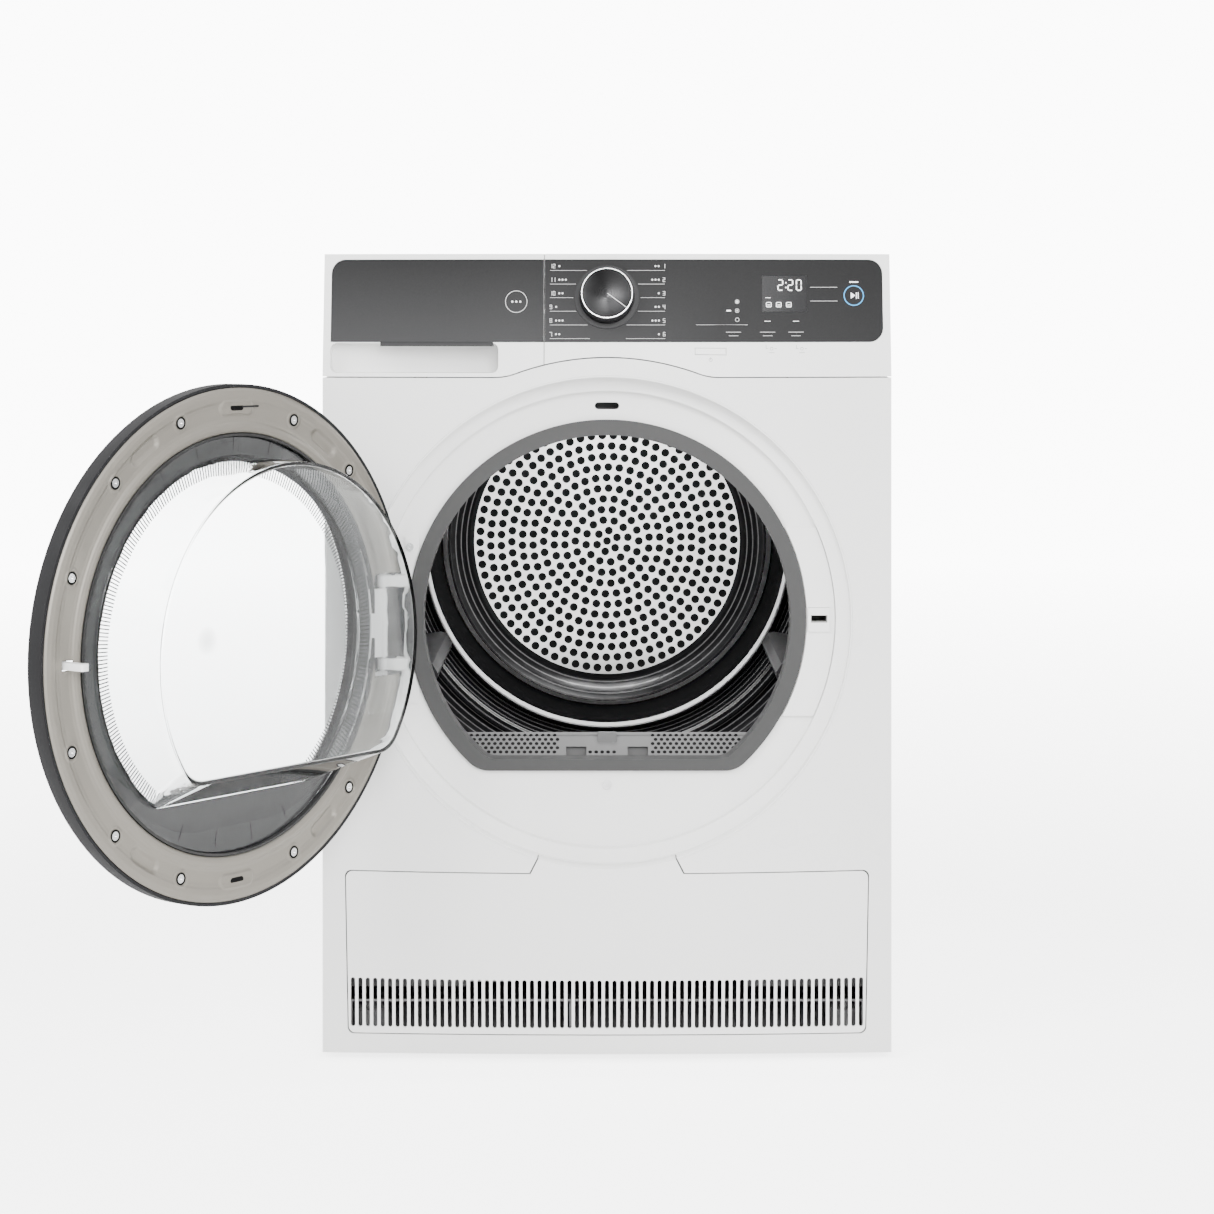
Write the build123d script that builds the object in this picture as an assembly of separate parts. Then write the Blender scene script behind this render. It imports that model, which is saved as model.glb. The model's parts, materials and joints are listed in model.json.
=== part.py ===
from build123d import *
import math
import os

# A front-loading heat-pump clothes dryer with its round door standing open.
# Millimetres. X runs to the user's right, the front faces -Y and +Z is up. The origin is on the
# floor, under the middle of the cabinet's front edge line.

# ---------------------------------------------------------------- driving dimensions
HALF_W = 300.0          # half of the 600 mm cabinet width
TOP_Z = 850.0           # worktop surface above the floor
BACK_Y = 600.0          # outside of the rear panel
FLOOR_GAP = 8.0         # the feet hold the cabinet this far off the floor
BREAK_Z = 124.0         # below this height the front leans back towards the floor
SEAM_Z = 720.0          # seam between the front panel and the control fascia
BOW = 24.0              # how far the front swells forward at its middle
BOW_FOOT = 9.0          # the same at the foot of the front panel
BOW_TOP = 20.0          # and at the top of the fascia
FASCIA_Y0 = -2.0        # side edge of the fascia at its foot
FASCIA_Y1 = 23.0        # and at its top: the fascia leans back
SHEET = 2.5             # wall of the front panel and the kick panel
FASCIA_WALL = 3.0
GAP = 1.2               # gap along the visible seams

RING_Z = 463.5          # centre of the loading door and its opening
RING_R = 257.0          # round recess that the door closes into
RING_WALL = 1.5         # wall of that recess
STEP_R = 242.0          # inner edge of the recess's flat rim
RIM_Y = 5.0             # depth of that flat rim
PLATE_Y = 20.0          # depth of the round plate behind it
SEAL_R = 211.0          # loading seal, outside
SEAL_IN = 194.5         # and inside
SEAL_FLAT = 161.0       # the opening's flat bottom, below the centre
SEAL_FLAT_IN = 149.0
THROAT_R = 208.0        # bore of the bulkhead behind the seal

DRUM_Z = 508.0          # drum axis
DRUM_R = 287.0          # drum, outside
DRUM_Y0 = 78.0          # front edge of the drum
DRUM_SHEET = 1.5
DISC_Y = 485.0          # face of the perforated rear disc

DOOR_R = 255.0          # outer rim of the door
HINGE_X = -235.6
HINGE_Y = -15.7
OPEN_REST = 126.7       # the door stands open by this angle in degrees
BOWL_DEPTH = 79.0

INSERT_Z0 = 757.0       # dark panel let into the fascia
INSERT_Z1 = 844.0
INSERT_X = 291.8
INSERT_T = 1.5
SPLIT_X = -66.0         # seam between the water drawer and the control panel

os.makedirs("parts", exist_ok=True)


# ---------------------------------------------------------------- helpers
def block(x0, x1, y0, y1, z0, z1):
    centre = Pos((x0 + x1) / 2, (y0 + y1) / 2, (z0 + z1) / 2)
    return centre * Box(x1 - x0, y1 - y0, z1 - z0)


def rod_y(r, y0, y1, x=0.0, z=0.0):
    return Pos(x, (y0 + y1) / 2, z) * Rot(90, 0, 0) * Cylinder(r, y1 - y0)


def rod_z(r, z0, z1, x, y):
    return Pos(x, y, (z0 + z1) / 2) * Cylinder(r, z1 - z0)


def ring_y(r_out, r_in, y0, y1, x=0.0, z=0.0):
    return rod_y(r_out, y0, y1, x, z) - rod_y(r_in, y0 - 1, y1 + 1, x, z)


def turned(points, z):
    """A solid of revolution about the Y direction at height z, from (radius, y) points."""
    face = make_face(Polyline(*points, close=True))
    return Pos(0, 0, z) * revolve(face, axis=Axis.Y)


def slab_y(face, y0, y1):
    """Extrude a face drawn in the front view (x, z) from depth y0 to y1."""
    placed = Location((0, y1, 0), (90, 0, 0)) * face
    return extrude(placed, y1 - y0)


def d_face(r, flat, corner):
    """A disc with its bottom cut flat and the two corners rounded, drawn about (0, 0)."""
    shape = Circle(r) - Pos(0, -flat - r) * Rectangle(4 * r, 2 * r)
    return fillet(shape.vertices(), corner)


def plan_face(half_w, y_edge, bow, y_back, z):
    """Plan view of the cabinet front at one height: a shallow arc between two side edges."""
    left, right = (-half_w, y_edge), (half_w, y_edge)
    arc = ThreePointArc(left, (0, y_edge - bow), right)
    rest = Polyline(right, (half_w, y_back), (-half_w, y_back), left)
    return Pos(0, 0, z) * make_face(arc + rest)


def front_mass(levels, inset=0.0, back=15.0):
    """The cabinet front as a solid: ruled between plan views given as (z, y_edge, bow)."""
    solid = None
    for (z0, e0, b0), (z1, e1, b1) in zip(levels, levels[1:]):
        low = plan_face(HALF_W - inset, e0 + inset, b0, back, z0)
        high = plan_face(HALF_W - inset, e1 + inset, b1, back, z1)
        part = loft([low, high], ruled=True)
        solid = part if solid is None else solid + part
    return solid


PANEL_LEVELS = [(FLOOR_GAP, 0.0, BOW_FOOT), (BREAK_Z, 0.0, BOW), (SEAM_Z + 60, 0.0, BOW)]
FASCIA_LEVELS = [(SEAM_Z - 5, FASCIA_Y0, BOW), (TOP_Z, FASCIA_Y1, BOW_TOP)]


def fascia_y(x, z):
    """Depth of the fascia's outer face at a point."""
    share = (z - SEAM_Z + 5) / (TOP_Z - SEAM_Z + 5)
    edge = FASCIA_Y0 + (FASCIA_Y1 - FASCIA_Y0) * share
    bow = BOW + (BOW_TOP - BOW) * share
    radius = (HALF_W ** 2 + bow ** 2) / (2 * bow)
    return edge - bow + radius - math.sqrt(radius ** 2 - x ** 2)


def fascia_plane(x, z):
    """A plane lying on the fascia, its normal pointing out of it."""
    rise = fascia_y(x, z + 5) - fascia_y(x, z - 5)
    side = fascia_y(x + 5, z) - fascia_y(x - 5, z)
    normal = Vector(side / 10, -1, rise / 10).normalized()
    along = Vector(1, 0, 0) - normal * normal.X
    return Plane(origin=(x, fascia_y(x, z), z), x_dir=along.normalized(), z_dir=normal)


def arch_face(grow=0.0):
    """Front view of the front panel: a rectangle with a low arch over the door."""
    arch_r, blend_r = 277.5 + grow, 60.0
    height = SEAM_Z - FLOOR_GAP + grow
    body = Pos(0, FLOOR_GAP + height / 2) * Rectangle(2 * HALF_W + 20, height)
    outline = body + Pos(0, RING_Z) * Circle(arch_r)
    meets = [v for v in outline.vertices() if abs(v.Y - SEAM_Z - grow) < 0.1 and abs(v.X) < 200]
    return fillet(meets, blend_r)


def kick_outline(grow=0.0):
    """Front view of the lower flap with its tongue, a little larger when grow is positive."""
    w0, w1 = 272.0 + grow, 275.0 + grow
    z0, z1 = 29.5 - grow, 200.0 + grow
    points = [(-w0, z0), (w0, z0), (w1, z1), (80 + grow, z1), (67 + grow, 226)]
    points += [(-67 - grow, 226), (-80 - grow, z1), (-w1, z1)]
    face = make_face(Polyline(*points, close=True))
    corners = [v for v in face.vertices() if abs(v.X) > 200]
    return fillet(corners, 7.0)


def insert_outline(x0, x1, grow=0.0, round_low_right=True):
    """Front view of one length of the dark insert between x0 and x1."""
    z0, z1 = INSERT_Z0 - grow, INSERT_Z1 + grow
    face = Pos((x0 + x1) / 2, (z0 + z1) / 2) * Rectangle(x1 - x0, z1 - z0)
    soft = []
    for v in face.vertices():
        top_left = v.X < -200 and v.Y > 800
        right = v.X > 200 and (v.Y > 800 or round_low_right)
        if top_left or right:
            soft.append(v)
    return fillet(soft, 15.0) if soft else face


# ---------------------------------------------------------------- cabinet
def front_panel():
    outer = front_mass(PANEL_LEVELS)
    inner = front_mass([(z - 9 if z < 20 else z, e, b) for z, e, b in PANEL_LEVELS], SHEET, 40.0)
    shell = (outer - inner) & slab_y(arch_face(-GAP / 2), -60, 40)
    shell -= rod_y(RING_R + RING_WALL + 0.2, -60, 40, 0, RING_Z)
    shell -= slab_y(kick_outline(GAP), -60, 14.9)
    foot_return = block(-HALF_W + SHEET, HALF_W - SHEET, -4, 12, FLOOR_GAP, FLOOR_GAP + 2)
    return shell + (foot_return & outer)


def recess_ring():
    """White moulding of the door recess: side wall, flat rim, step and round plate."""
    outer_r = RING_R + RING_WALL
    outer = front_mass([(SEAM_Z - 600, 0.0, BOW), (SEAM_Z + 60, 0.0, BOW)], 0.0, 40.0)
    wall = ring_y(outer_r, RING_R, -60, RIM_Y + 3, 0, RING_Z) & outer
    wall -= slab_y(kick_outline(GAP), -60, 2.0)
    rim = ring_y(outer_r, STEP_R, RIM_Y, RIM_Y + 3, 0, RING_Z)
    step = ring_y(STEP_R + 3, STEP_R, RIM_Y, PLATE_Y + 3, 0, RING_Z)
    plate = rod_y(STEP_R + 3, PLATE_Y, PLATE_Y + 3, 0, RING_Z)
    hole = slab_y(Pos(0, RING_Z) * d_face(THROAT_R - 1, SEAL_FLAT - 4, 28), 0, 60)
    body = wall + rim + step + plate - hole
    inside = rod_y(RING_R, -10, PLATE_Y, 0, RING_Z)
    body -= block(-RING_R, -200, -10, PLATE_Y, RING_Z - 92, RING_Z + 92) & inside
    pocket = rod_y(outer_r, RIM_Y, PLATE_Y + 3, 0, RING_Z) - rod_y(RING_R, 0, PLATE_Y, 0, RING_Z)
    body += pocket & block(-260, -200, 0, 40, RING_Z - 95, RING_Z + 95)
    body -= block(215.0, 234.4, 0, 40, RING_Z - 4.6, RING_Z + 4.6)
    body -= hole
    return body - slab_y(Pos(0, RING_Z + 225.5) * SlotOverall(26, 7.5), 0, 60)


def bulkhead():
    """Inner front wall: the bore behind the seal and the flange that carries the drum's felt."""
    bore = ring_y(THROAT_R + 3, THROAT_R, PLATE_Y + 3, 70, 0, RING_Z)
    flange = rod_y(286, 67, 70, 0, DRUM_Z) - rod_y(THROAT_R, 60, 80, 0, RING_Z)
    flange &= block(-296, 296, 0, 100, 180, 800)
    legs = block(-296, -150, 67, 70, 62, 420) + block(150, 296, 67, 70, 62, 420)
    legs -= rod_y(THROAT_R + 1, 60, 80, 0, RING_Z)
    body = bore + flange + legs
    body -= block(-166, 166, 40, 69.7, 150, 345)
    return body


def filter_duct():
    """Upright duct that the lint filter drops into, open at both ends."""
    outer = block(-165, 165, 44.5, 69.5, 150, 300)
    inner = block(-161, 161, 46.5, 67.5, 140, 310)
    ears = block(-165, -161, 44.5, 69.5, 300, 335) + block(161, 165, 44.5, 69.5, 300, 335)
    return outer - inner + ears


def loading_seal():
    outer = Pos(0, RING_Z) * d_face(SEAL_R, SEAL_FLAT, 30)
    inner = Pos(0, RING_Z) * d_face(SEAL_IN, SEAL_FLAT_IN, 24)
    neck = Pos(0, RING_Z) * d_face(THROAT_R - 1, SEAL_FLAT - 4, 28)
    lip = slab_y(outer, 14, PLATE_Y)
    sleeve = slab_y(neck, PLATE_Y, 42)
    return lip + sleeve - slab_y(inner, 0, 60)


def latch_cover():
    sector = ring_y(STEP_R - 0.6, SEAL_R + 1, 15, PLATE_Y, 0, RING_Z)
    keep = block(150, 260, 0, 40, RING_Z - 103, RING_Z + 97)
    body = sector & keep
    return body - block(212.7, 236, 0, 40, RING_Z - 13.8, RING_Z + 12.0)


def latch_socket():
    frame = block(213, 235.7, 12, PLATE_Y, RING_Z - 13.5, RING_Z + 11.7)
    sleeve = block(215.2, 234.2, PLATE_Y, 33, RING_Z - 4.4, RING_Z + 4.4)
    return frame + sleeve - block(216, 233.4, 0, 60, RING_Z - 4, RING_Z + 4)


def side_panel(side):
    x0, x1 = sorted((side * HALF_W, side * (HALF_W - 1.2)))
    plate = block(x0, x1, 15.6, BACK_Y, FLOOR_GAP, 831)
    plate -= block(-400, 400, 0, 46.5, SEAM_Z - 1, 900)
    f0, f1 = sorted((side * (HALF_W - 1.2), side * (HALF_W - 8)))
    plate += block(f0, f1, 47, 48.2, 62, 831)
    plate += block(f0, f1, 47, 590, 829.8, 831)
    return plate


def worktop():
    body = block(-HALF_W + 0.5, HALF_W - 0.5, 46.2, BACK_Y, 832, TOP_Z)
    body = fillet(body.edges().filter_by(Axis.Y).group_by(Axis.Z)[-1], 3.0)
    return body - block(-285, 285, 60, 585, 825, 838)


def rear_panel():
    body = block(-298.6, 298.6, BACK_Y - 1.5, BACK_Y, FLOOR_GAP, 831)
    body -= rod_y(150, 590, 610, 0, DRUM_Z)
    for column in range(9):
        for row in range(2):
            x = 120 + 16 * column
            z = 110 + 60 * row
            body -= block(x - 3, x + 3, 590, 610, z - 22, z + 22)
    body -= rod_y(9.2, 590, 610, -240, 780)
    return body - block(205, 245, 590, 610, 762, 798)


def rear_cover():
    """Shallow round cover over the rear air duct."""
    dish = [(0, 612), (190, 612), (204, 600), (212, 600), (212, 601.5), (204, 601.5)]
    dish += [(190, 613.5), (0, 613.5)]
    return turned(dish, DRUM_Z)


def rear_bulkhead():
    """Plate behind the drum: carries the bearing and lets hot air through its ports."""
    body = block(-296, 296, 520, 523, 62, 800)
    body -= rod_y(18, 500, 540, 0, DRUM_Z)
    for k in range(8):
        angle = math.radians(45 * k + 22.5)
        body -= rod_y(38, 500, 540, 120 * math.cos(angle), DRUM_Z + 120 * math.sin(angle))
    return body


def base_tray():
    outer = block(-297, 297, 16, 597.5, 10, 60)
    inner = block(-294, 294, 19, 594.5, 13, 70)
    body = outer - inner
    for x, y in FOOT_SPOTS:
        body += rod_z(16, 10, 40, x, y)
    for x, y in FOOT_SPOTS:
        body -= rod_z(5.0, 5, 50, x, y)
    body += block(-294, 294, 376, 380, 13, 58)
    body += block(-40, -36, 16, 376, 13, 58)
    return body - block(-270, 270, 10, 22, 30, 58)


FOOT_SPOTS = [(-255, 70), (255, 70), (-255, 550), (255, 550)]


def level_foot(x, y):
    pad = rod_z(21, 0, 7, x, y)
    pad = fillet(pad.edges().group_by(Axis.Z)[0], 1.5)
    nut = rod_z(9, 7, FLOOR_GAP + 2, x, y)
    stem = rod_z(4.95, 8, 45, x, y)
    return pad + nut + stem


def tank_shelf():
    """Curved shelf between the drum and the water drawer."""
    shell = ring_y(295.5, 293.5, 50, 519, 0, DRUM_Z) & block(-262, -66, 40, 540, 640, 831)
    wall = block(-70, -68, 50, 519, 770, 829)
    return shell + (wall - rod_y(293.5, 0, 600, 0, DRUM_Z))


# ---------------------------------------------------------------- control fascia
def fascia_shell(x0, x1):
    outer = front_mass(FASCIA_LEVELS, 0.0, 45.0)
    inner = front_mass([(SEAM_Z - 30, FASCIA_Y0 - 5, BOW), (TOP_Z, FASCIA_Y1, BOW_TOP)],
                       FASCIA_WALL, 90.0)
    inner &= block(-400, 400, -60, 100, SEAM_Z + GAP / 2 + 3, TOP_Z - 3)
    shell = outer - inner
    shell &= block(x0, x1, -60, 60, SEAM_Z + GAP / 2, TOP_Z)
    shell -= slab_y(arch_face(GAP / 2), -80, 20)
    return shell


def fascia_layer(front, back):
    """A thin layer that follows the fascia's face, from front to back of it."""
    near = front_mass([(z, e + front, b) for z, e, b in FASCIA_LEVELS], 0.0, 45.0)
    far = front_mass([(z, e + back, b) for z, e, b in FASCIA_LEVELS], -1.0, 46.0)
    return near - Pos(0, 1.0, 0) * far


def insert_pocket(x0, x1):
    return slab_y(insert_outline(x0, x1, 0.2), -60, 40) & fascia_layer(-3.0, INSERT_T)


def control_fascia():
    body = fascia_shell(SPLIT_X + 0.4, HALF_W + 1)
    body -= insert_pocket(SPLIT_X - 20, INSERT_X + 0.2)
    plane = fascia_plane(0, KNOB_Z)
    body -= plane.location * Cylinder(KNOB_BEZEL_R - 2, 60)
    body -= BUTTON_PLANE.location * Box(BUTTON_W + 0.8, BUTTON_H + 0.8, 60)
    return body


KNOB_Z = 804.0
KNOB_R = 27.8
KNOB_BEZEL_R = 33.8
BUTTON_PLANE = fascia_plane(108.7, 747.2)
BUTTON_W = 32.4
BUTTON_H = 6.8
DISPLAY = (163.6, 211.0, 789.0, 826.5)


def display_outline(grow=0.0):
    x0, x1, z0, z1 = DISPLAY
    width, height = x1 - x0 + 2 * grow, z1 - z0 + 2 * grow
    return Pos((x0 + x1) / 2, (z0 + z1) / 2) * Rectangle(width, height)


def insert_panel(x0, x1, low_right):
    return slab_y(insert_outline(x0, x1, 0.0, low_right), -60, 30) & fascia_layer(-0.3, INSERT_T)


def control_panel():
    body = insert_panel(SPLIT_X + 0.6, INSERT_X, True)
    body -= fascia_plane(0, KNOB_Z).location * Cylinder(KNOB_BEZEL_R - 2, 60)
    return body - slab_y(display_outline(0.1), -60, 30)


def display_window():
    return slab_y(display_outline(), -60, 30) & fascia_layer(-0.3, INSERT_T)


def knob_bezel():
    place = fascia_plane(0, KNOB_Z).location
    ring = Cylinder(KNOB_BEZEL_R, 1.6) + Pos(0, 0, -5) * Cylinder(KNOB_BEZEL_R - 2.3, 10)
    ring = Pos(0, 0, 1.1) * ring
    cup = Pos(0, 0, 1.0) * Cylinder(KNOB_R + 1.2, 8)
    return place * (ring - cup - Cylinder(3.1, 40))


def knob_body():
    skirt = Pos(0, 0, 11) * Cylinder(KNOB_R, 20.0)
    top = skirt.edges().group_by(Axis.Z)[-1]
    skirt = chamfer(top, 1.2)
    recess = Pos(0, 0, 4) * Cylinder(KNOB_R - 4, 10)
    hub = Pos(0, 0, 4.5) * Cylinder(6, 9)
    cap = Pos(0, 0, 21.4) * Cylinder(KNOB_R - 1.6, 0.8)
    body = skirt - recess + hub + cap - Pos(0, 0, 2) * Cylinder(3, 14)
    return fascia_plane(0, KNOB_Z).location * body


def knob_shaft():
    return fascia_plane(0, KNOB_Z).location * Pos(0, 0, -3) * Cylinder(3, 24)


def power_button():
    cap = Pos(0, 0, -3.2) * Box(BUTTON_W, BUTTON_H, 8)
    cap = fillet(cap.edges().group_by(Axis.Z)[-1], 0.8)
    stem = Pos(0, 0, -9) * Box(8, 4, 6)
    return BUTTON_PLANE.location * (cap + stem)


def control_board():
    """Circuit board with the knob's encoder on it, behind the control panel."""
    board = block(-40, 286, 30, 31.6, 768, 828)
    chips = block(150, 220, 24, 30, 786, 826) + block(90, 120, 26, 30, 780, 800)
    encoder = Pos(0, 0, -18) * Box(22, 22, 16)
    encoder = fascia_plane(0, KNOB_Z).location * encoder & block(-20, 20, -40, 30.5, 770, 828)
    bore = fascia_plane(0, KNOB_Z).location * Cylinder(3.06, 80)
    return board + chips + block(240, 280, 22, 30, 796, 816) + encoder - bore


# ---------------------------------------------------------------- water drawer
def drawer_front():
    """White front of the water drawer with the grip pocket moulded into it."""
    cup_face = fillet((Pos(-203, 739.7) * Rectangle(182, 34.2)).vertices(), 9)
    cup = slab_y(cup_face, -30, 27) & front_mass(FASCIA_LEVELS, 0.5, 45.0)
    mouth = fillet((Pos(-203, 740.3) * Rectangle(178, 31.4)).vertices(), 7)
    back_wall = block(-298.5, -70, 42, 45, 770, 848)
    body = fascia_shell(-HALF_W - 1, SPLIT_X - 0.4) + cup + back_wall
    body -= slab_y(mouth, -60, 25)
    body -= insert_pocket(-INSERT_X - 0.2, SPLIT_X + 20)
    return body - block(-239.3, -119.7, -30, 16.3, LIP_Z - 0.3, INSERT_Z0 + 0.2)


LIP_Z = 752.5           # underside of the dark lip that the fingers pull on
TANK_WALL = 2.5


def drawer_insert():
    body = insert_panel(-INSERT_X, SPLIT_X - 0.6, False)
    lip = block(-239, -120, -20, 16, LIP_Z, INSERT_Z0)
    reach = front_mass([(z, e + 1.0, b) for z, e, b in FASCIA_LEVELS], 0.0, 45.0)
    return body + (lip & reach)


def tank_steps(wall):
    """The tank is deep beside the drum and shallow above it. wall shrinks it to its inside."""
    shallow = block(-290 + wall, -76 - wall, 45 + wall, 515 - wall, 800 + wall, 826 - wall)
    return shallow + block(-290 + wall, -221.5 - wall, 45 + wall, 515 - wall, 722 + wall, 826 - wall)


def water_tank():
    filler = block(-255, -175, 70, 120, 815, 830)
    return tank_steps(0.0) - tank_steps(TANK_WALL) - filler


# ---------------------------------------------------------------- door, built closed
def door_frame():
    """Dark outer rim: a thin band with a softly domed front."""
    rows = [(DOOR_R, -1), (DOOR_R, -17), (253, -20.5), (244, -27.5), (226, -34), (204, -38)]
    rows += [(200, -38.4), (200, -35), (224.5, -31), (241.5, -25), (249.5, -19), (252, -15), (252, -1)]
    body = turned(rows, RING_Z)
    for z0, z1 in HINGE_ARMS:
        body -= block(-262, -236, -10.5, 2, z0 - 1.5, z1 + 1.5)
    return body


def door_glass():
    rows = [(0, -43), (90, -42.2), (150, -40.6), (199.5, -38), (199.5, -34), (150, -36.6)]
    rows += [(90, -38.2), (0, -39)]
    return turned(rows, RING_Z)


def door_inner_ring():
    """Light inner ring with its raised inner bead and the screw wells."""
    rows = [(251.5, -1.5), (246, 0.8), (238, 1.0), (232, -0.6), (222, -0.6), (212, 1.6), (206.5, 1.0)]
    rows += [(206.5, -3), (212, -1.2), (222, -3.4), (232, -3.4), (238, -1.8), (246, -2), (251.5, -4)]
    body = turned(rows, RING_Z)
    for angle in SCREW_ANGLES:
        x, z = polar(SCREW_R, angle)
        body += rod_y(6.5, -4.5, -2.0, x, z)
        body -= rod_y(5.6, -1.9, 5, x, z)
        body -= rod_y(2.0, -10, 5, x, z)
    body -= block(216.0, 229.0, -20, 10, RING_Z - 4.4, RING_Z + 4.4)
    return body - hinge_window()


HINGE_ARMS = [(RING_Z + 38, RING_Z + 50), (RING_Z - 50, RING_Z - 38)]
KNUCKLE_R = 5.2
PIN_R = 3.0
SCREW_R = 232.0
SCREW_ANGLES = [20.3, 45.5, 70.7, 110.8, 135.5, -20.3, -45.5, -70.7, -110.8, -135.5]


def polar(r, degrees):
    angle = math.radians(degrees)
    return r * math.cos(angle), RING_Z + r * math.sin(angle)


def hinge_window():
    return block(-262, -203.5, -14, 10, RING_Z - 54, RING_Z + 54)


def door_gasket():
    return ring_y(206.4, 203.9, -2.5, 2.0, 0, RING_Z) - hinge_window()


def bowl_loft(offset, depth0, depth1):
    wide = Pos(0, RING_Z) * d_face(185.0 - offset, 148.0 - offset, 22.0)
    narrow = Pos(0, RING_Z) * d_face(181.0 - offset, 115.0 - offset, 30.0)
    near = Location((0, depth0, 0), (90, 0, 0)) * wide
    far = Location((0, depth1, 0), (90, 0, 0)) * narrow
    return loft([near, far], ruled=True)


def door_bowl():
    flange = rod_y(203.4, -5.5, -2.6, 0, RING_Z)
    body = flange + bowl_loft(0.0, -2.6, BOWL_DEPTH)
    return body - bowl_loft(3.2, -6.0, BOWL_DEPTH - 3.2)


def door_screws():
    group = None
    for angle in SCREW_ANGLES:
        x, z = polar(SCREW_R, angle)
        head = rod_y(4.2, -1.9, 0.4, x, z) - rod_y(1.6, -0.6, 5, x, z)
        screw = head + rod_y(1.9, -14, -1.9, x, z)
        group = screw if group is None else group + screw
    return group


def hinge_leaf():
    """Door half of the hinge: a plate with three knuckles and the pin fixed in them."""
    body = block(-222, -192, -16.5, -13.5, RING_Z - 78, RING_Z + 78)
    for z0, z1 in HINGE_ARMS:
        body -= block(-240, -205.5, -20, -10, z0 - 1.5, z1 + 1.5)
    for z0, z1 in [(-66, -52), (-36, 36), (52, 66)]:
        body += rod_z(KNUCKLE_R, RING_Z + z0, RING_Z + z1, HINGE_X, HINGE_Y)
        body += block(HINGE_X, -214, HINGE_Y - 2.5, HINGE_Y + 2.5, RING_Z + z0, RING_Z + z1)
    return body + rod_z(PIN_R, RING_Z - 67, RING_Z + 67, HINGE_X, HINGE_Y)


def hinge_bracket():
    """Cabinet half of the hinge: a plate in the recess with two goose-neck arms."""
    body = block(-214, -199, 17, PLATE_Y, RING_Z - 90, RING_Z + 86)
    body += block(-238, -212, 17, PLATE_Y, RING_Z - 60, RING_Z + 60)
    body -= slab_y(Pos(0, RING_Z) * Circle(SEAL_R + 0.8), 0, 60)
    for z0, z1 in HINGE_ARMS:
        body += block(-213.5, -209, HINGE_Y - 2.5, PLATE_Y, z0, z1)
        body += block(HINGE_X, -209, HINGE_Y - 2.5, HINGE_Y + 2.5, z0, z1)
        body += rod_z(KNUCKLE_R, z0, z1, HINGE_X, HINGE_Y)
    return body - rod_z(PIN_R + 0.05, RING_Z - 90, RING_Z + 90, HINGE_X, HINGE_Y)


def latch_hook():
    stem = block(219.0, 227.0, -10, 24, RING_Z - 3.4, RING_Z + 3.4)
    tip = block(217.2, 227.0, 17, 24, RING_Z - 3.4, RING_Z + 3.4)
    hook = fillet((stem + tip).edges().filter_by(Axis.Z).group_by(Axis.Y)[-1], 3.0)
    return hook + rod_z(3.0, RING_Z - 4.1, RING_Z + 4.1, 223, -6)


def opened(shape):
    """Swing a piece built in the closed position to where the open door stands."""
    hinge = Axis((HINGE_X, HINGE_Y, RING_Z), (0, 0, 1))
    return shape.rotate(hinge, -OPEN_REST)


# ---------------------------------------------------------------- drum and drive
DRUM_INSIDE = [(285.5, DRUM_Y0), (285.5, 414), (278, 427), (270, 431), (262, 440), (255, 435)]
DRUM_INSIDE += [(247, 447), (243, 440), (227, 464), (218.5, 435), (201, 499), (191, 473)]
DRUM_INSIDE += [(176, 477), (167, DISC_Y), (162, DISC_Y)]
MOTOR_X = 60.0
MOTOR_Z = 130.0
PULLEY_R = 12.0
BELT_Y0 = 186.0
BELT_Y1 = 198.0
BELT_T = 2.0
ROLLER_R = 30.0
LIFTER_ANGLES = [-30, 90, 210]


def drum_shell():
    outside = [(r + DRUM_SHEET, y + 1.8) for r, y in DRUM_INSIDE]
    outside[0] = (DRUM_R, DRUM_Y0)
    body = turned(DRUM_INSIDE + outside[::-1], DRUM_Z)
    return body + ring_y(DRUM_R, 264, DRUM_Y0, DRUM_Y0 + 1.5, 0, DRUM_Z)


def drum_disc():
    return rod_y(172, DISC_Y + 1.8, DISC_Y + 3.3, 0, DRUM_Z)


def drum_lifters():
    """Three hollow paddles along the inside of the drum."""
    profile = [(-34, 285.3), (-12, 222), (-6, 216), (6, 216), (12, 222), (34, 285.3)]
    face = make_face(Polyline(*profile, close=True)) & Circle(285.3)
    inner = Pos(0, 3.5) * scale(face, by=(0.88, 1.0, 1)) - Circle(219.5)
    bar = slab_y(face, 100, 400) - slab_y(inner & Circle(285.4), 104, 396)
    group = None
    for angle in LIFTER_ANGLES:
        one = Pos(0, 0, DRUM_Z) * Rot(0, 90 - angle, 0) * bar
        group = one if group is None else group + one
    return group


def drum_shaft():
    spider = rod_y(60, DISC_Y + 3.3, DISC_Y + 7, 0, DRUM_Z)
    return spider + rod_y(10, DISC_Y + 7, 552, 0, DRUM_Z)


def drum_bearing():
    return ring_y(18, 10.05, 516, 530, 0, DRUM_Z)


def felt_ring():
    ring = ring_y(285, 274, 70, DRUM_Y0 - 0.5, 0, DRUM_Z)
    return ring


def belt_path(extra):
    """The belt's closed outline: two arcs joined by their common tangents, grown by extra."""
    big, small = DRUM_R + 0.5 + extra, PULLEY_R + 0.4 + extra
    dx, dz = MOTOR_X, MOTOR_Z - DRUM_Z
    away = math.atan2(dz, dx)
    spread = math.acos((big - small) / math.hypot(dx, dz))
    points = []
    for sign in (1, -1):
        a = away + sign * spread
        points.append((big * math.cos(a), big * math.sin(a)))
        points.append((dx + small * math.cos(a), dz + small * math.sin(a)))
    (b0, s0, b1, s1) = points
    far = (-big * math.cos(away), -big * math.sin(away))
    low = (dx + small * math.cos(away), dz + small * math.sin(away))
    loop = ThreePointArc(b0, far, b1) + Line(b1, s1) + ThreePointArc(s1, low, s0) + Line(s0, b0)
    return Pos(0, DRUM_Z) * make_face(loop)


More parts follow.
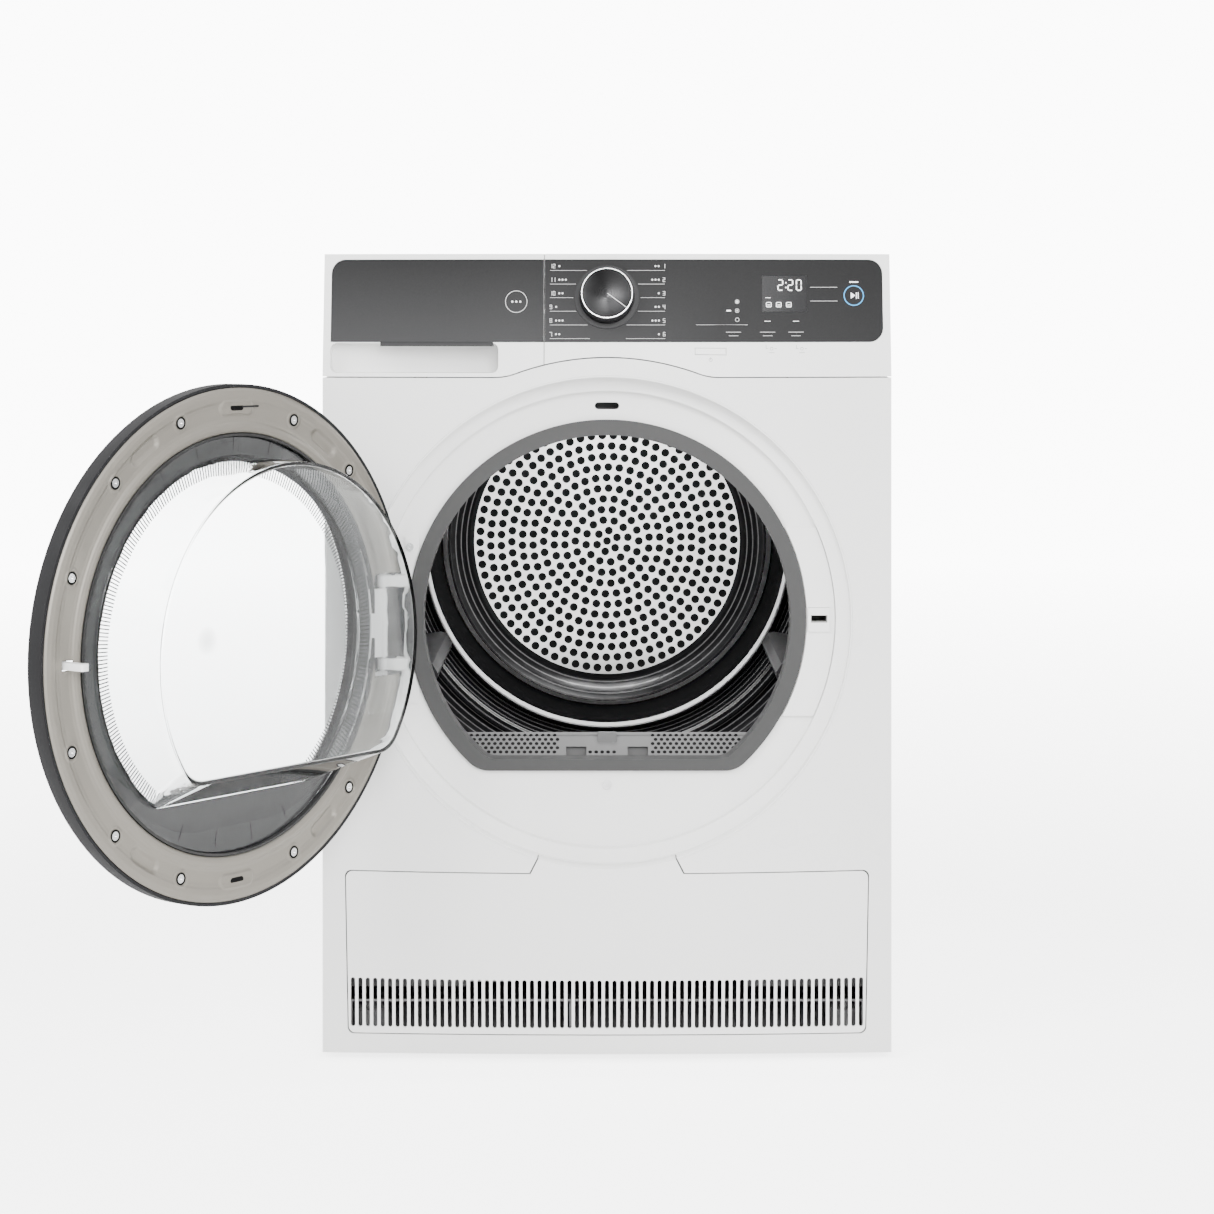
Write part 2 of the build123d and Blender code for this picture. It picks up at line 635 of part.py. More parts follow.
def drive_belt():
    return slab_y(belt_path(BELT_T), BELT_Y0, BELT_Y1) - slab_y(belt_path(0.0), BELT_Y0 - 1, BELT_Y1 + 1)


def motor_case():
    body = ring_y(50, 44, 222, 320, MOTOR_X, MOTOR_Z)
    body += ring_y(50, 6, 218, 222, MOTOR_X, MOTOR_Z) + ring_y(50, 6, 320, 324, MOTOR_X, MOTOR_Z)
    body += block(MOTOR_X - 40, MOTOR_X + 40, 230, 312, 60, 86) - rod_y(48, 0, 600, MOTOR_X, MOTOR_Z)
    x, z = idler_pivot()
    ear = block(MOTOR_X + 30, x + 12, 222, 226, z - 12, z + 12) - rod_y(46, 0, 600, MOTOR_X, MOTOR_Z)
    return body + ear - rod_y(4.05, 200, 224, x, z)


def motor_shaft():
    return rod_y(5.95, 180, 352, MOTOR_X, MOTOR_Z) + rod_y(38, 228, 314, MOTOR_X, MOTOR_Z)


def motor_pulley():
    hub = ring_y(PULLEY_R, 5.95, 183, 201, MOTOR_X, MOTOR_Z)
    flanges = ring_y(15.5, 5.95, 181, 183, MOTOR_X, MOTOR_Z)
    return hub + flanges + ring_y(15.5, 5.95, 201, 203, MOTOR_X, MOTOR_Z)


def process_fan():
    """Blower wheel on the rear end of the motor shaft."""
    wheel = ring_y(20, 5.95, 332, 350, MOTOR_X, MOTOR_Z) + ring_y(56, 5.95, 329, 332, MOTOR_X, MOTOR_Z)
    for k in range(12):
        blade = block(16, 55, 332, 350, -1.2, 1.2)
        wheel += Pos(MOTOR_X, 0, MOTOR_Z) * Rot(0, 30 * k, 0) * blade
    return wheel


def fan_housing():
    shell = ring_y(66, 62, 327, 356, MOTOR_X, MOTOR_Z)
    return shell + ring_y(66, 30, 354, 357, MOTOR_X, MOTOR_Z)


def drum_roller(side):
    angle = math.radians(-90 + side * 40)
    reach = DRUM_R + ROLLER_R + 0.4
    return reach * math.cos(angle), DRUM_Z + reach * math.sin(angle)


def roller_wheel(side):
    x, z = drum_roller(side)
    tyre = ring_y(ROLLER_R, 7.0, 84, 100, x, z)
    return tyre


def roller_axle(side):
    x, z = drum_roller(side)
    return rod_y(6.94, 70, 108, x, z) + rod_y(10, 70, 80, x, z)


def idler_place():
    """Centre of the tension pulley: just outside the belt's right-hand run."""
    dx, dz = MOTOR_X, MOTOR_Z - DRUM_Z
    away = math.atan2(dz, dx)
    spread = math.acos((DRUM_R - PULLEY_R) / math.hypot(dx, dz))
    normal = away + spread
    along = (math.cos(normal + math.pi / 2), math.sin(normal + math.pi / 2))
    reach = PULLEY_R + BELT_T + 0.8 + IDLER_R
    x = MOTOR_X + reach * math.cos(normal) + 62 * along[0]
    z = MOTOR_Z + reach * math.sin(normal) + 62 * along[1]
    return x, z


IDLER_R = 14.0


def idler_pivot():
    x, z = idler_place()
    return x + 28, z - 50


def idler_pulley():
    x, z = idler_place()
    return ring_y(IDLER_R, 4.0, 185, 199, x, z)


def idler_arm():
    x, z = idler_place()
    arm = rod_y(9, 203, 206, x, z) + rod_y(3.94, 184, 203, x, z)
    foot_x, foot_z = idler_pivot()
    arm += rod_y(9, 203, 206, foot_x, foot_z) + rod_y(4, 206, 223, foot_x, foot_z)
    bar = Pos((x + foot_x) / 2, 204.5, (z + foot_z) / 2)
    angle = math.degrees(math.atan2(z - foot_z, x - foot_x))
    return arm + bar * Rot(0, -angle, 0) * Box(math.hypot(x - foot_x, z - foot_z), 3, 10)


def compressor():
    can = rod_z(58, 70, 232, 218, 452)
    can = fillet(can.edges().filter_by(GeomType.CIRCLE), 18)
    return can + block(170, 266, 402, 502, 60, 71)


def coil_block(y0, y1):
    """A finned heat exchanger in the base."""
    body = block(-270, -100, y0, y1, 62, 205)
    fins = None
    for k in range(16):
        x = -264 + 10.5 * k
        cut = block(x, x + 6.5, y0 - 1, y0 + 8, 70, 197) + block(x, x + 6.5, y1 - 8, y1 + 1, 70, 197)
        fins = cut if fins is None else fins + cut
    return body - fins


def drain_pump():
    body = rod_z(24, 58, 110, -240, 460) + block(-264, -216, 436, 484, 14, 58)
    return body


# ---------------------------------------------------------------- lint filter and flap
def filter_wedge(inset):
    x = 158.0 - inset
    y0, y1 = 48.0 + inset, 66.0 - inset
    z0 = 165.0 - (10 if inset else 0)
    face = make_face(Polyline((y0, z0), (y1, z0), (y1, 336 - inset), (y0, 314 - inset), close=True))
    placed = Plane.YZ.offset(-x) * face
    return extrude(placed, 2 * x)


def lint_filter():
    """Cassette filter: mesh walls, a sloping perforated top and two finger scoops."""
    body = filter_wedge(0.0) - filter_wedge(2.0)
    for x in (-33, 33):
        body -= block(x - 11, x + 11, 48, 58, 306, 322)
        scoop = block(x - 13, x + 13, 50, 62, 296, 320) - block(x - 11, x + 11, 40, 60, 298, 330)
        body += scoop & filter_wedge(0.0)
    return body + block(-10, 10, 58, 63, 322, 337)


def kick_panel():
    levels = PANEL_LEVELS[:1] + [(BREAK_Z, 0.0, BOW), (SEAM_Z, 0.0, BOW)]
    outer = front_mass(levels)
    inner = front_mass([(z - 9 if z < 20 else z, e, b) for z, e, b in levels], SHEET, 40.0)
    keep = slab_y(kick_outline(), -60, 14) - rod_y(RING_R + GAP, -60, 40, 0, RING_Z)
    edge = ring_y(RING_R + GAP + 1.6, RING_R + GAP, -40, 1.0, 0, RING_Z) & outer
    body = ((outer - inner) & keep) + (edge & slab_y(kick_outline(-0.4), -60, 14))
    slots = None
    for k in range(69):
        x = 7.87 * (k - 34)
        slot = slab_y(Pos(x, 62) * Rot(0, 0, 90) * SlotOverall(52, 4.6), -40, 14)
        slots = slot if slots is None else slots + slot
    return body - slots


# ---------------------------------------------------------------- small fittings
def panel_screws():
    """Screws of the recess plate and of the rear panel."""
    group = rod_y(4.8, 17.6, PLATE_Y, 0, 287.0) - rod_y(2, 15, 18.6, 0, 287.0)
    group += rod_y(4.2, 14.4, 17, -209, RING_Z + 76) - rod_y(1.6, 10, 15.4, -209, RING_Z + 76)
    for x in (-285, 285):
        for z in (30, 260, 520, 815):
            group += rod_y(4.5, BACK_Y, BACK_Y + 2.2, x, z) - rod_y(1.8, 601.2, 610, x, z)
    for k in range(6):
        angle = math.radians(60 * k)
        x, z = 208 * math.cos(angle), DRUM_Z + 208 * math.sin(angle)
        group += rod_y(3.0, BACK_Y + 1.5, BACK_Y + 3.2, x, z)
    return group


def mains_inlet():
    body = block(205.5, 244.5, 578, 603, 762.5, 797.5) - block(209, 241, 582, 620, 768, 792)
    return body + rod_y(2, 582, 596, 216, 776) + rod_y(2, 582, 596, 234, 776) + rod_y(2, 582, 596, 225, 785)


def drain_spigot():
    flange = rod_y(14, BACK_Y, BACK_Y + 3, -240, 780)
    return flange + rod_y(8, BACK_Y + 3, BACK_Y + 21, -240, 780) + rod_y(9, 580, BACK_Y, -240, 780)


def parts():
    """Every node that stays where it is built, by name."""
    return {
        "front_panel": front_panel(),
        "recess_ring": recess_ring(),
        "front_bulkhead": bulkhead(),
        "filter_duct": filter_duct(),
        "loading_seal": loading_seal(),
        "latch_cover": latch_cover(),
        "latch_socket": latch_socket(),
        "side_panels": Compound([side_panel(side).solid() for side in (-1, 1)]),
        "worktop": worktop(),
        "rear_panel": rear_panel(),
        "rear_cover": rear_cover(),
        "rear_bulkhead": rear_bulkhead(),
        "base_tray": base_tray(),
        "tank_shelf": tank_shelf(),
        "control_fascia": control_fascia(),
        "control_panel": control_panel(),
        "display_window": display_window(),
        "control_board": control_board(),
        "knob_bezel": knob_bezel(),
        "programme_knob": knob_body(),
        "knob_shaft": knob_shaft(),
        "power_button": power_button(),
        "drawer_front": drawer_front(),
        "drawer_insert": drawer_insert(),
        "water_tank": water_tank(),
        "hinge_bracket": hinge_bracket(),
        "drum_shell": drum_shell(),
        "drum_rear_disc": drum_disc(),
        "drum_lifters": drum_lifters(),
        "drum_shaft": drum_shaft(),
        "drum_bearing": drum_bearing(),
        "front_felt": felt_ring(),
        "drive_belt": drive_belt(),
        "motor_case": motor_case(),
        "motor_shaft": motor_shaft(),
        "motor_pulley": motor_pulley(),
        "process_fan": process_fan(),
        "fan_housing": fan_housing(),
        "idler_pulley": idler_pulley(),
        "idler_arm": idler_arm(),
        "compressor": compressor(),
        "heat_exchangers": Compound([coil_block(90, 205).solid(), coil_block(215, 360).solid()]),
        "drain_pump": drain_pump(),
        "lint_filter": lint_filter(),
        "kick_panel": kick_panel(),
        "panel_screws": panel_screws(),
        "mains_inlet": mains_inlet(),
        "drain_spigot": drain_spigot(),
        "level_feet": Compound([level_foot(x, y).solid() for x, y in FOOT_SPOTS]),
        "drum_roller_left": roller_wheel(-1),
        "drum_roller_right": roller_wheel(1),
        "roller_axles": Compound([roller_axle(side).solid() for side in (-1, 1)]),
    }


def door_parts():
    """The pieces that swing with the door, built with the door closed."""
    return {
        "door_frame": door_frame(),
        "door_glass": door_glass(),
        "door_inner_ring": door_inner_ring(),
        "door_gasket": door_gasket(),
        "door_bowl": door_bowl(),
        "door_screws": door_screws(),
        "hinge_leaf": hinge_leaf(),
        "latch_hook": latch_hook(),
    }


def main():
    made = parts()
    for name, shape in door_parts().items():
        made[name] = opened(shape)
    print(len(made), "nodes")
    print("idler pulley", idler_place(), "its arm's pivot", idler_pivot())
    for name, shape in made.items():
        export_step(shape, f"parts/{name}.step")


main()
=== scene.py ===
# %% [markdown]
# A front-loading clothes dryer, drawn round its own CAD model. The dryer stands on a pale floor with
# its round door swung wide open, so the picture shows the steel drum, the grey rubber seal, the clear
# bowl of the door and the dark control panel. The CAD model already has every part at its true size,
# so this script adds what only the eye needs: finishes, printed marks and perforations.

# %% The frame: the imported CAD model, loaded where it stands
import json
import math

import bmesh
import bpy
from mathutils import Matrix, Vector
from mathutils.bvhtree import BVHTree


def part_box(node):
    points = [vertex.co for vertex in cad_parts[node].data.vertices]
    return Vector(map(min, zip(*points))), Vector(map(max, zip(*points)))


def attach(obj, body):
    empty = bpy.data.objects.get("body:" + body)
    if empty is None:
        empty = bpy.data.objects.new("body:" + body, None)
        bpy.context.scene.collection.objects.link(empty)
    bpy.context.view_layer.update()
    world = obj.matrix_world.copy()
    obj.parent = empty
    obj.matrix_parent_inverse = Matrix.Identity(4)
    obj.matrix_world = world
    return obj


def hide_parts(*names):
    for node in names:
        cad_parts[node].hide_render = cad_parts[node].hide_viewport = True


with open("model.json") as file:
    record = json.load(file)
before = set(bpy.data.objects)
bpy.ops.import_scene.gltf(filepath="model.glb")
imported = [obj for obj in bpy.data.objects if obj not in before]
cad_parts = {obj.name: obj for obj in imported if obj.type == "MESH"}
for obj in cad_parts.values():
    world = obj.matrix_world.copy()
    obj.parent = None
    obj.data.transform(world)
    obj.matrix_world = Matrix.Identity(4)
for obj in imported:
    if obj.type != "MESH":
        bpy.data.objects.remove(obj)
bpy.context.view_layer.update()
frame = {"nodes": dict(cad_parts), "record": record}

MM = 0.001
JOINTS = {joint["name"]: joint for joint in frame["record"]["behaviour"]["joints"]}
SLOT_OF = {row["node"]: row["material_slot"] for row in frame["record"]["subparts"]}

# %% [markdown]
# The camera comes first, because every later choice is judged through it. The machine is seen straight
# on from about three metres, at the height of its control panel. A camera held level keeps the cabinet's
# edges upright, and a shifted lens then brings the floor into the frame, as a product photographer does.

# %% The camera
CAMERA_AT = (0.0, -3.100, 0.796)
lens = bpy.data.cameras.new("level_camera")
lens.lens = 87.17
lens.sensor_width = 36.0
lens.shift_y = -0.2488
camera = bpy.data.objects.new("level_camera", lens)
camera.location = CAMERA_AT
camera.rotation_euler = (math.radians(90), 0, 0)
bpy.context.collection.objects.link(camera)
bpy.context.scene.camera = camera

# %% [markdown]
# A white machine on a white floor is drawn by its own soft shadows. A bright even sky does most of the
# work, and two large lamps give the curved front its slow change from light to grey. A third shines
# into the drum from the front, and a small one hides inside, behind the top of the mouth, to whiten the
# perforated disc. The sky is seen much brighter than it shines, so that the background comes out white.

# %% Light and floor
def math_node(tree, operation, a, b=None, c=None):
    """One Math node: each of a, b and c is a socket or a number."""
    node = tree.nodes.new("ShaderNodeMath")
    node.operation = operation
    for slot, value in zip(node.inputs, (a, b, c)):
        if isinstance(value, (int, float)):
            slot.default_value = value
        elif value is not None:
            tree.links.new(value, slot)
    return node.outputs[0]


SKY_LIGHT = 1.42    # how strongly the sky lights the machine
SKY_SEEN = 11.0     # how bright the camera sees it


def straight_sight(tree):
    """1 for what the camera sees, straight or through the door's glass, and 0 for what only lights."""
    path = tree.nodes.new("ShaderNodeLightPath")
    turns = math_node(tree, "ADD", path.outputs["Diffuse Depth"], path.outputs["Glossy Depth"])
    direct = math_node(tree, "LESS_THAN", turns, 0.5)
    through = math_node(tree, "MULTIPLY", path.outputs["Is Transmission Ray"], direct)
    return math_node(tree, "MAXIMUM", path.outputs["Is Camera Ray"], through)


def studio_sky():
    """An even sky that lights the machine softly and is itself seen as bright white."""
    world = bpy.data.worlds.new("studio")
    world.use_nodes = True
    tree = world.node_tree
    seen = straight_sight(tree)
    strength = math_node(tree, "MULTIPLY_ADD", seen, SKY_SEEN - SKY_LIGHT, SKY_LIGHT)
    tree.nodes["Background"].inputs["Color"].default_value = (1.0, 1.0, 1.0, 1)
    tree.links.new(strength, tree.nodes["Background"].inputs["Strength"])
    bpy.context.scene.world = world


def lamp(name, place, aim, size, power):
    """A square soft light that looks at one point."""
    data = bpy.data.lights.new(name, "AREA")
    data.size = size
    data.energy = power
    obj = bpy.data.objects.new(name, data)
    obj.location = place
    obj.rotation_euler = (Vector(aim) - Vector(place)).to_track_quat("-Z", "Y").to_euler()
    bpy.context.collection.objects.link(obj)


studio_sky()
MIDDLE = (0.0, 0.2, 0.45)
lamp("key_light", (-1.9, -2.4, 2.6), MIDDLE, 1.6, 95.0)
lamp("fill_light", (2.4, -2.2, 1.5), MIDDLE, 2.0, 30.0)
lamp("drum_light", (0.35, -2.7, 1.5), (0.0, 0.45, 0.4), 1.0, 80.0)
lamp("drum_lamp", (0.0, 0.13, 0.74), (0.0, 0.47, 0.45), 0.16, 5.0)

floor_mesh = bpy.data.meshes.new("studio_floor")
FLOOR_HALF = 30.0
corners = [(-1, -1), (1, -1), (1, 1), (-1, 1)]
floor_mesh.from_pydata([(FLOOR_HALF * x, FLOOR_HALF * y, 0) for x, y in corners], [], [(0, 1, 2, 3)])
floor = bpy.data.objects.new("studio_floor", floor_mesh)
bpy.context.collection.objects.link(floor)

# %% [markdown]
# Real surfaces are never one flat value. Three small shader groups are shared by all the finishes: a
# fine grain that breaks up a moulded or painted surface, brushed lines for rolled metal, and a thin
# dust that settles where a face looks up. Each puts out a mask or a height, and the finish decides
# what that changes.


# %% Shared shader groups
def group_tree(name, inputs, outputs):
    tree = bpy.data.node_groups.new(name, "ShaderNodeTree")
    for label, kind, value in inputs:
        socket = tree.interface.new_socket(label, in_out="INPUT", socket_type=kind)
        if value is not None:
            socket.default_value = value
    for label, kind in outputs:
        tree.interface.new_socket(label, in_out="OUTPUT", socket_type=kind)
    return tree, tree.nodes.new("NodeGroupInput"), tree.nodes.new("NodeGroupOutput")


def build_grain():
    tree, source, sink = group_tree(
        "surface_grain",
        [("Vector", "NodeSocketVector", None), ("Scale", "NodeSocketFloat", 900.0)],
        [("Height", "NodeSocketFloat"), ("Cloud", "NodeSocketFloat")])
    fine = tree.nodes.new("ShaderNodeTexNoise")
    broad = tree.nodes.new("ShaderNodeTexNoise")
    fine.inputs["Detail"].default_value = 4.0
    broad.inputs["Scale"].default_value = 7.0
    broad.inputs["Detail"].default_value = 5.0
    for noise in (fine, broad):
        tree.links.new(source.outputs["Vector"], noise.inputs["Vector"])
    tree.links.new(source.outputs["Scale"], fine.inputs["Scale"])
    tree.links.new(fine.outputs["Fac"], sink.inputs["Height"])
    tree.links.new(broad.outputs["Fac"], sink.inputs["Cloud"])
    return tree


def build_brushed():
    tree, source, sink = group_tree(
        "brushed_lines",
        [("Vector", "NodeSocketVector", None), ("Stretch", "NodeSocketVector", (1.0, 1.0, 1.0))],
        [("Lines", "NodeSocketFloat")])
    product = tree.nodes.new("ShaderNodeVectorMath")
    product.operation = "MULTIPLY"
    noise = tree.nodes.new("ShaderNodeTexNoise")
    noise.inputs["Scale"].default_value = 1.0
    noise.inputs["Detail"].default_value = 4.0
    tree.links.new(source.outputs["Vector"], product.inputs[0])
    tree.links.new(source.outputs["Stretch"], product.inputs[1])
    tree.links.new(product.outputs[0], noise.inputs["Vector"])
    tree.links.new(noise.outputs["Fac"], sink.inputs["Lines"])
    return tree


def build_dust():
    tree, source, sink = group_tree(
        "settled_dust",
        [("Vector", "NodeSocketVector", None), ("Amount", "NodeSocketFloat", 0.2)],
        [("Mask", "NodeSocketFloat")])
    facing = tree.nodes.new("ShaderNodeNewGeometry")
    parts = tree.nodes.new("ShaderNodeSeparateXYZ")
    noise = tree.nodes.new("ShaderNodeTexNoise")
    noise.inputs["Scale"].default_value = 35.0
    noise.inputs["Detail"].default_value = 6.0
    tree.links.new(facing.outputs["Normal"], parts.inputs[0])
    tree.links.new(source.outputs["Vector"], noise.inputs["Vector"])
    up = math_node(tree, "MAXIMUM", parts.outputs["Z"], 0.0)
    patchy = math_node(tree, "MULTIPLY", up, noise.outputs["Fac"])
    tree.links.new(math_node(tree, "MULTIPLY", patchy, source.outputs["Amount"]), sink.inputs["Mask"])
    return tree


GRAIN = build_grain()
BRUSHED = build_brushed()
DUST = build_dust()
print("shader groups:", GRAIN.name, BRUSHED.name, DUST.name)

# %% [markdown]
# Most parts of a dryer are one of a few kinds of surface: enamel, moulded plastic, rubber or sheet
# metal. One function mixes the shared groups into such a finish. The strength of each effect is an
# argument, so that enamel can be nearly smooth and felt can be rough.


# %% The plain finishes
def place_group(mat, tree):
    node = mat.node_tree.nodes.new("ShaderNodeGroup")
    node.node_tree = tree
    return node


def start_finish(name, roughness, metallic=0.0):
    mat = bpy.data.materials.new(name)
    mat.use_nodes = True
    shader = mat.node_tree.nodes["Principled BSDF"]
    shader.inputs["Roughness"].default_value = roughness
    shader.inputs["Metallic"].default_value = metallic
    where = mat.node_tree.nodes.new("ShaderNodeTexCoord").outputs["Object"]
    return mat, shader, where


def blend_colour(mat, mask, low, high):
    """A colour that runs from low to high as the mask goes from 0 to 1."""
    mix = mat.node_tree.nodes.new("ShaderNodeMix")
    mix.data_type = "RGBA"
    mat.node_tree.links.new(mask, mix.inputs["Factor"])
    for socket, value in ((mix.inputs["A"], low), (mix.inputs["B"], high)):
        if isinstance(value, tuple):
            socket.default_value = (*value, 1.0)
        else:
            mat.node_tree.links.new(value, socket)
    return mix.outputs["Result"]


def run_range(mat, value, a0, a1, b0, b1):
    """A number mapped from one range to another, held at the ends."""
    node = mat.node_tree.nodes.new("ShaderNodeMapRange")
    for label, number in (("From Min", a0), ("From Max", a1), ("To Min", b0), ("To Max", b1)):
        node.inputs[label].default_value = number
    mat.node_tree.links.new(value, node.inputs["Value"])
    return node.outputs["Result"]


def add_bump(mat, shader, height, distance):
    bump = mat.node_tree.nodes.new("ShaderNodeBump")
    bump.inputs["Distance"].default_value = distance
    bump.inputs["Strength"].default_value = 0.35
    mat.node_tree.links.new(height, bump.inputs["Height"])
    mat.node_tree.links.new(bump.outputs["Normal"], shader.inputs["Normal"])


def moulded(name, colour, roughness, grain=900.0, relief=0.00003, shade=0.04, dust=0.25, gloss=0.5):
    """Enamel, plastic, rubber or cast metal: one colour, slightly clouded, with a fine grain."""
    mat, shader, where = start_finish(name, roughness)
    shader.inputs["Specular IOR Level"].default_value = gloss
    texture = place_group(mat, GRAIN)
    texture.inputs["Scale"].default_value = grain
    veil = place_group(mat, DUST)
    veil.inputs["Amount"].default_value = dust
    links = mat.node_tree.links
    links.new(where, texture.inputs["Vector"])
    links.new(where, veil.inputs["Vector"])
    darker = tuple(c * (1 - shade) for c in colour)
    body = blend_colour(mat, texture.outputs["Cloud"], darker, colour)
    grey = tuple(0.5 * c + 0.25 for c in colour)
    links.new(blend_colour(mat, veil.outputs["Mask"], body, grey), shader.inputs["Base Color"])
    low, high = max(roughness - 0.05, 0.03), roughness + 0.09
    links.new(run_range(mat, texture.outputs["Cloud"], 0.3, 0.7, low, high), shader.inputs["Roughness"])
    add_bump(mat, shader, texture.outputs["Height"], relief)
    return mat


def sheet_metal(name, colour, roughness, stretch, shade=0.18):
    """Rolled or turned metal with lines along one direction."""
    mat, shader, where = start_finish(name, roughness, 1.0)
    lines = place_group(mat, BRUSHED)
    lines.inputs["Stretch"].default_value = stretch
    links = mat.node_tree.links
    links.new(where, lines.inputs["Vector"])
    darker = tuple(c * (1 - shade) for c in colour)
    links.new(blend_colour(mat, lines.outputs["Lines"], darker, colour), shader.inputs["Base Color"])
    rough = run_range(mat, lines.outputs["Lines"], 0.3, 0.7, roughness - 0.06, roughness + 0.1)
    links.new(rough, shader.inputs["Roughness"])
    add_bump(mat, shader, lines.outputs["Lines"], 0.00002)
    return mat


def clear_finish(name, colour, roughness):
    """Clear polycarbonate or glass, with a faint change of roughness from wiping."""
    mat, shader, where = start_finish(name, roughness)
    shader.inputs["Transmission Weight"].default_value = 1.0
    shader.inputs["IOR"].default_value = 1.45
    texture = place_group(mat, GRAIN)
    texture.inputs["Scale"].default_value = 60.0
    links = mat.node_tree.links
    links.new(where, texture.inputs["Vector"])
    tint = tuple(c * 0.985 for c in colour)
    links.new(blend_colour(mat, texture.outputs["Cloud"], tint, colour), shader.inputs["Base Color"])
    rough = run_range(mat, texture.outputs["Cloud"], 0.35, 0.65, roughness, roughness + 0.03)
    links.new(rough, shader.inputs["Roughness"])
    return mat


FINISH = {
    "white_enamel": moulded("white_enamel", (0.88, 0.88, 0.87), 0.30, relief=0.00002, shade=0.02, dust=0.1),
    "white_plastic": moulded("white_plastic", (0.90, 0.90, 0.89), 0.34, shade=0.02, dust=0.1),
    "dark_rim": moulded("dark_rim", (0.014, 0.014, 0.015), 0.5, grain=1400.0, dust=0.1, gloss=0.15),
    "black_rubber": moulded("black_rubber", (0.018, 0.018, 0.018), 0.62, grain=500.0, relief=0.0001),
    "grey_rubber": moulded("grey_rubber", (0.050, 0.050, 0.050), 0.55, grain=700.0, relief=0.00006,
                           dust=0.1, gloss=0.25),
    "black_plastic": moulded("black_plastic", (0.010, 0.010, 0.011), 0.4, grain=1200.0, dust=0.1, gloss=0.25),
    "grey_felt": moulded("grey_felt", (0.32, 0.31, 0.30), 0.95, grain=300.0, relief=0.0006, shade=0.3),
    "filter_grey": moulded("filter_grey", (0.13, 0.13, 0.13), 0.42, grain=1000.0, dust=0.1, gloss=0.3),
    "board_green": moulded("board_green", (0.03, 0.16, 0.07), 0.45, grain=300.0),
    "base_grey": moulded("base_grey", (0.24, 0.24, 0.245), 0.5, grain=500.0, relief=0.00008),
    "display_pane": moulded("display_pane", (0.006, 0.006, 0.007), 0.15, grain=80.0, dust=0.0, gloss=0.15),
    "copper_black": moulded("copper_black", (0.02, 0.02, 0.022), 0.3),
    "zinc_steel": sheet_metal("zinc_steel", (0.52, 0.53, 0.55), 0.38, (9.0, 9.0, 400.0)),
    "aluminium_fin": sheet_metal("aluminium_fin", (0.72, 0.73, 0.74), 0.35, (700.0, 20.0, 20.0)),
    "chrome": sheet_metal("chrome", (0.80, 0.80, 0.80), 0.14, (300.0, 300.0, 40.0), shade=0.06),
    "clear_glass": clear_finish("clear_glass", (0.97, 0.985, 0.985), 0.015),
    "smoked_glass": clear_finish("smoked_glass", (0.95, 0.96, 0.965), 0.02),
}
print("plain finishes:", len(FINISH))

# %% [markdown]
# The floor is a plain pale sheet of card, so that nothing in it draws the eye from the machine. It is
# given a glow that only the camera sees, and that grows with distance, so that it fades into the sky.

# %% The floor's finish
def card_finish():
    mat = moulded("pale_card", (0.93, 0.93, 0.93), 0.9, grain=60.0, shade=0.01, dust=0.0)
    shader = mat.node_tree.nodes["Principled BSDF"]
    where = mat.node_tree.nodes.new("ShaderNodeTexCoord").outputs["Object"]
    away = mat.node_tree.nodes.new("ShaderNodeVectorMath")
    away.operation = "LENGTH"
    mat.node_tree.links.new(where, away.inputs[0])
    glow = run_range(mat, away.outputs["Value"], 1.0, 6.0, 0.0, 1.0)
    glow = math_node(mat.node_tree, "MULTIPLY_ADD", glow, 0.6, 0.40)
    glow = math_node(mat.node_tree, "MULTIPLY", glow, straight_sight(mat.node_tree))
    colour = blend_colour(mat, glow, (0.0, 0.0, 0.0), (1.0, 1.0, 1.0))
    mat.node_tree.links.new(colour, shader.inputs["Emission Color"])
    shader.inputs["Emission Strength"].default_value = SKY_SEEN - SKY_LIGHT
    return mat


floor.data.materials.append(card_finish())

# %% [markdown]
# Three finishes belong to this machine alone. The control panel is a dark film that grows lighter towards
# its foot and its left side, a painted reflection. The door's inner ring is lacquered in a warm metallic
# grey. The drum's rear wall is pressed steel that reads as black and white rings; its finish paints those
# reflections, the flat lands near black and the ridges near white. The rings follow the distance from the
# drum's axis, so the finish works that out from the place on the drum.

# %% Gradient film with painted reflection, and warm lacquer
PANEL_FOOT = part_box("control_panel")[0][2]
PANEL_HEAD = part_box("control_panel")[1][2]


def panel_film():
    mat, shader, where = start_finish("dark_panel", 0.42)
    shader.inputs["Specular IOR Level"].default_value = 0.12
    links = mat.node_tree.links
    parts = mat.node_tree.nodes.new("ShaderNodeSeparateXYZ")
    links.new(where, parts.inputs[0])
    rise = run_range(mat, parts.outputs["Z"], PANEL_FOOT, PANEL_HEAD, 0.0, 1.0)
    across = run_range(mat, parts.outputs["X"], -0.10, 0.12, 0.0, 1.0)
    # Painted reflection: the film is lighter towards its foot and its left side.
    foot = blend_colour(mat, across, (0.036, 0.036, 0.037), (0.013, 0.013, 0.0135))
    head = blend_colour(mat, across, (0.009, 0.009, 0.0095), (0.006, 0.006, 0.0065))
    body = blend_colour(mat, rise, foot, head)
    texture = place_group(mat, GRAIN)
    texture.inputs["Scale"].default_value = 1500.0
    links.new(where, texture.inputs["Vector"])
    speck = run_range(mat, texture.outputs["Height"], 0.3, 0.7, 0.0, 0.06)
    links.new(blend_colour(mat, speck, body, (0.12, 0.12, 0.12)), shader.inputs["Base Color"])
    add_bump(mat, shader, texture.outputs["Height"], 0.00002)
    return mat


def warm_lacquer():
    mat = moulded("warm_grey", (0.235, 0.219, 0.190), 0.36, grain=2200.0, shade=0.05)
    mat.node_tree.nodes["Principled BSDF"].inputs["Metallic"].default_value = 0.45
    return mat


FINISH["dark_panel"] = panel_film()
FINISH["warm_grey"] = warm_lacquer()
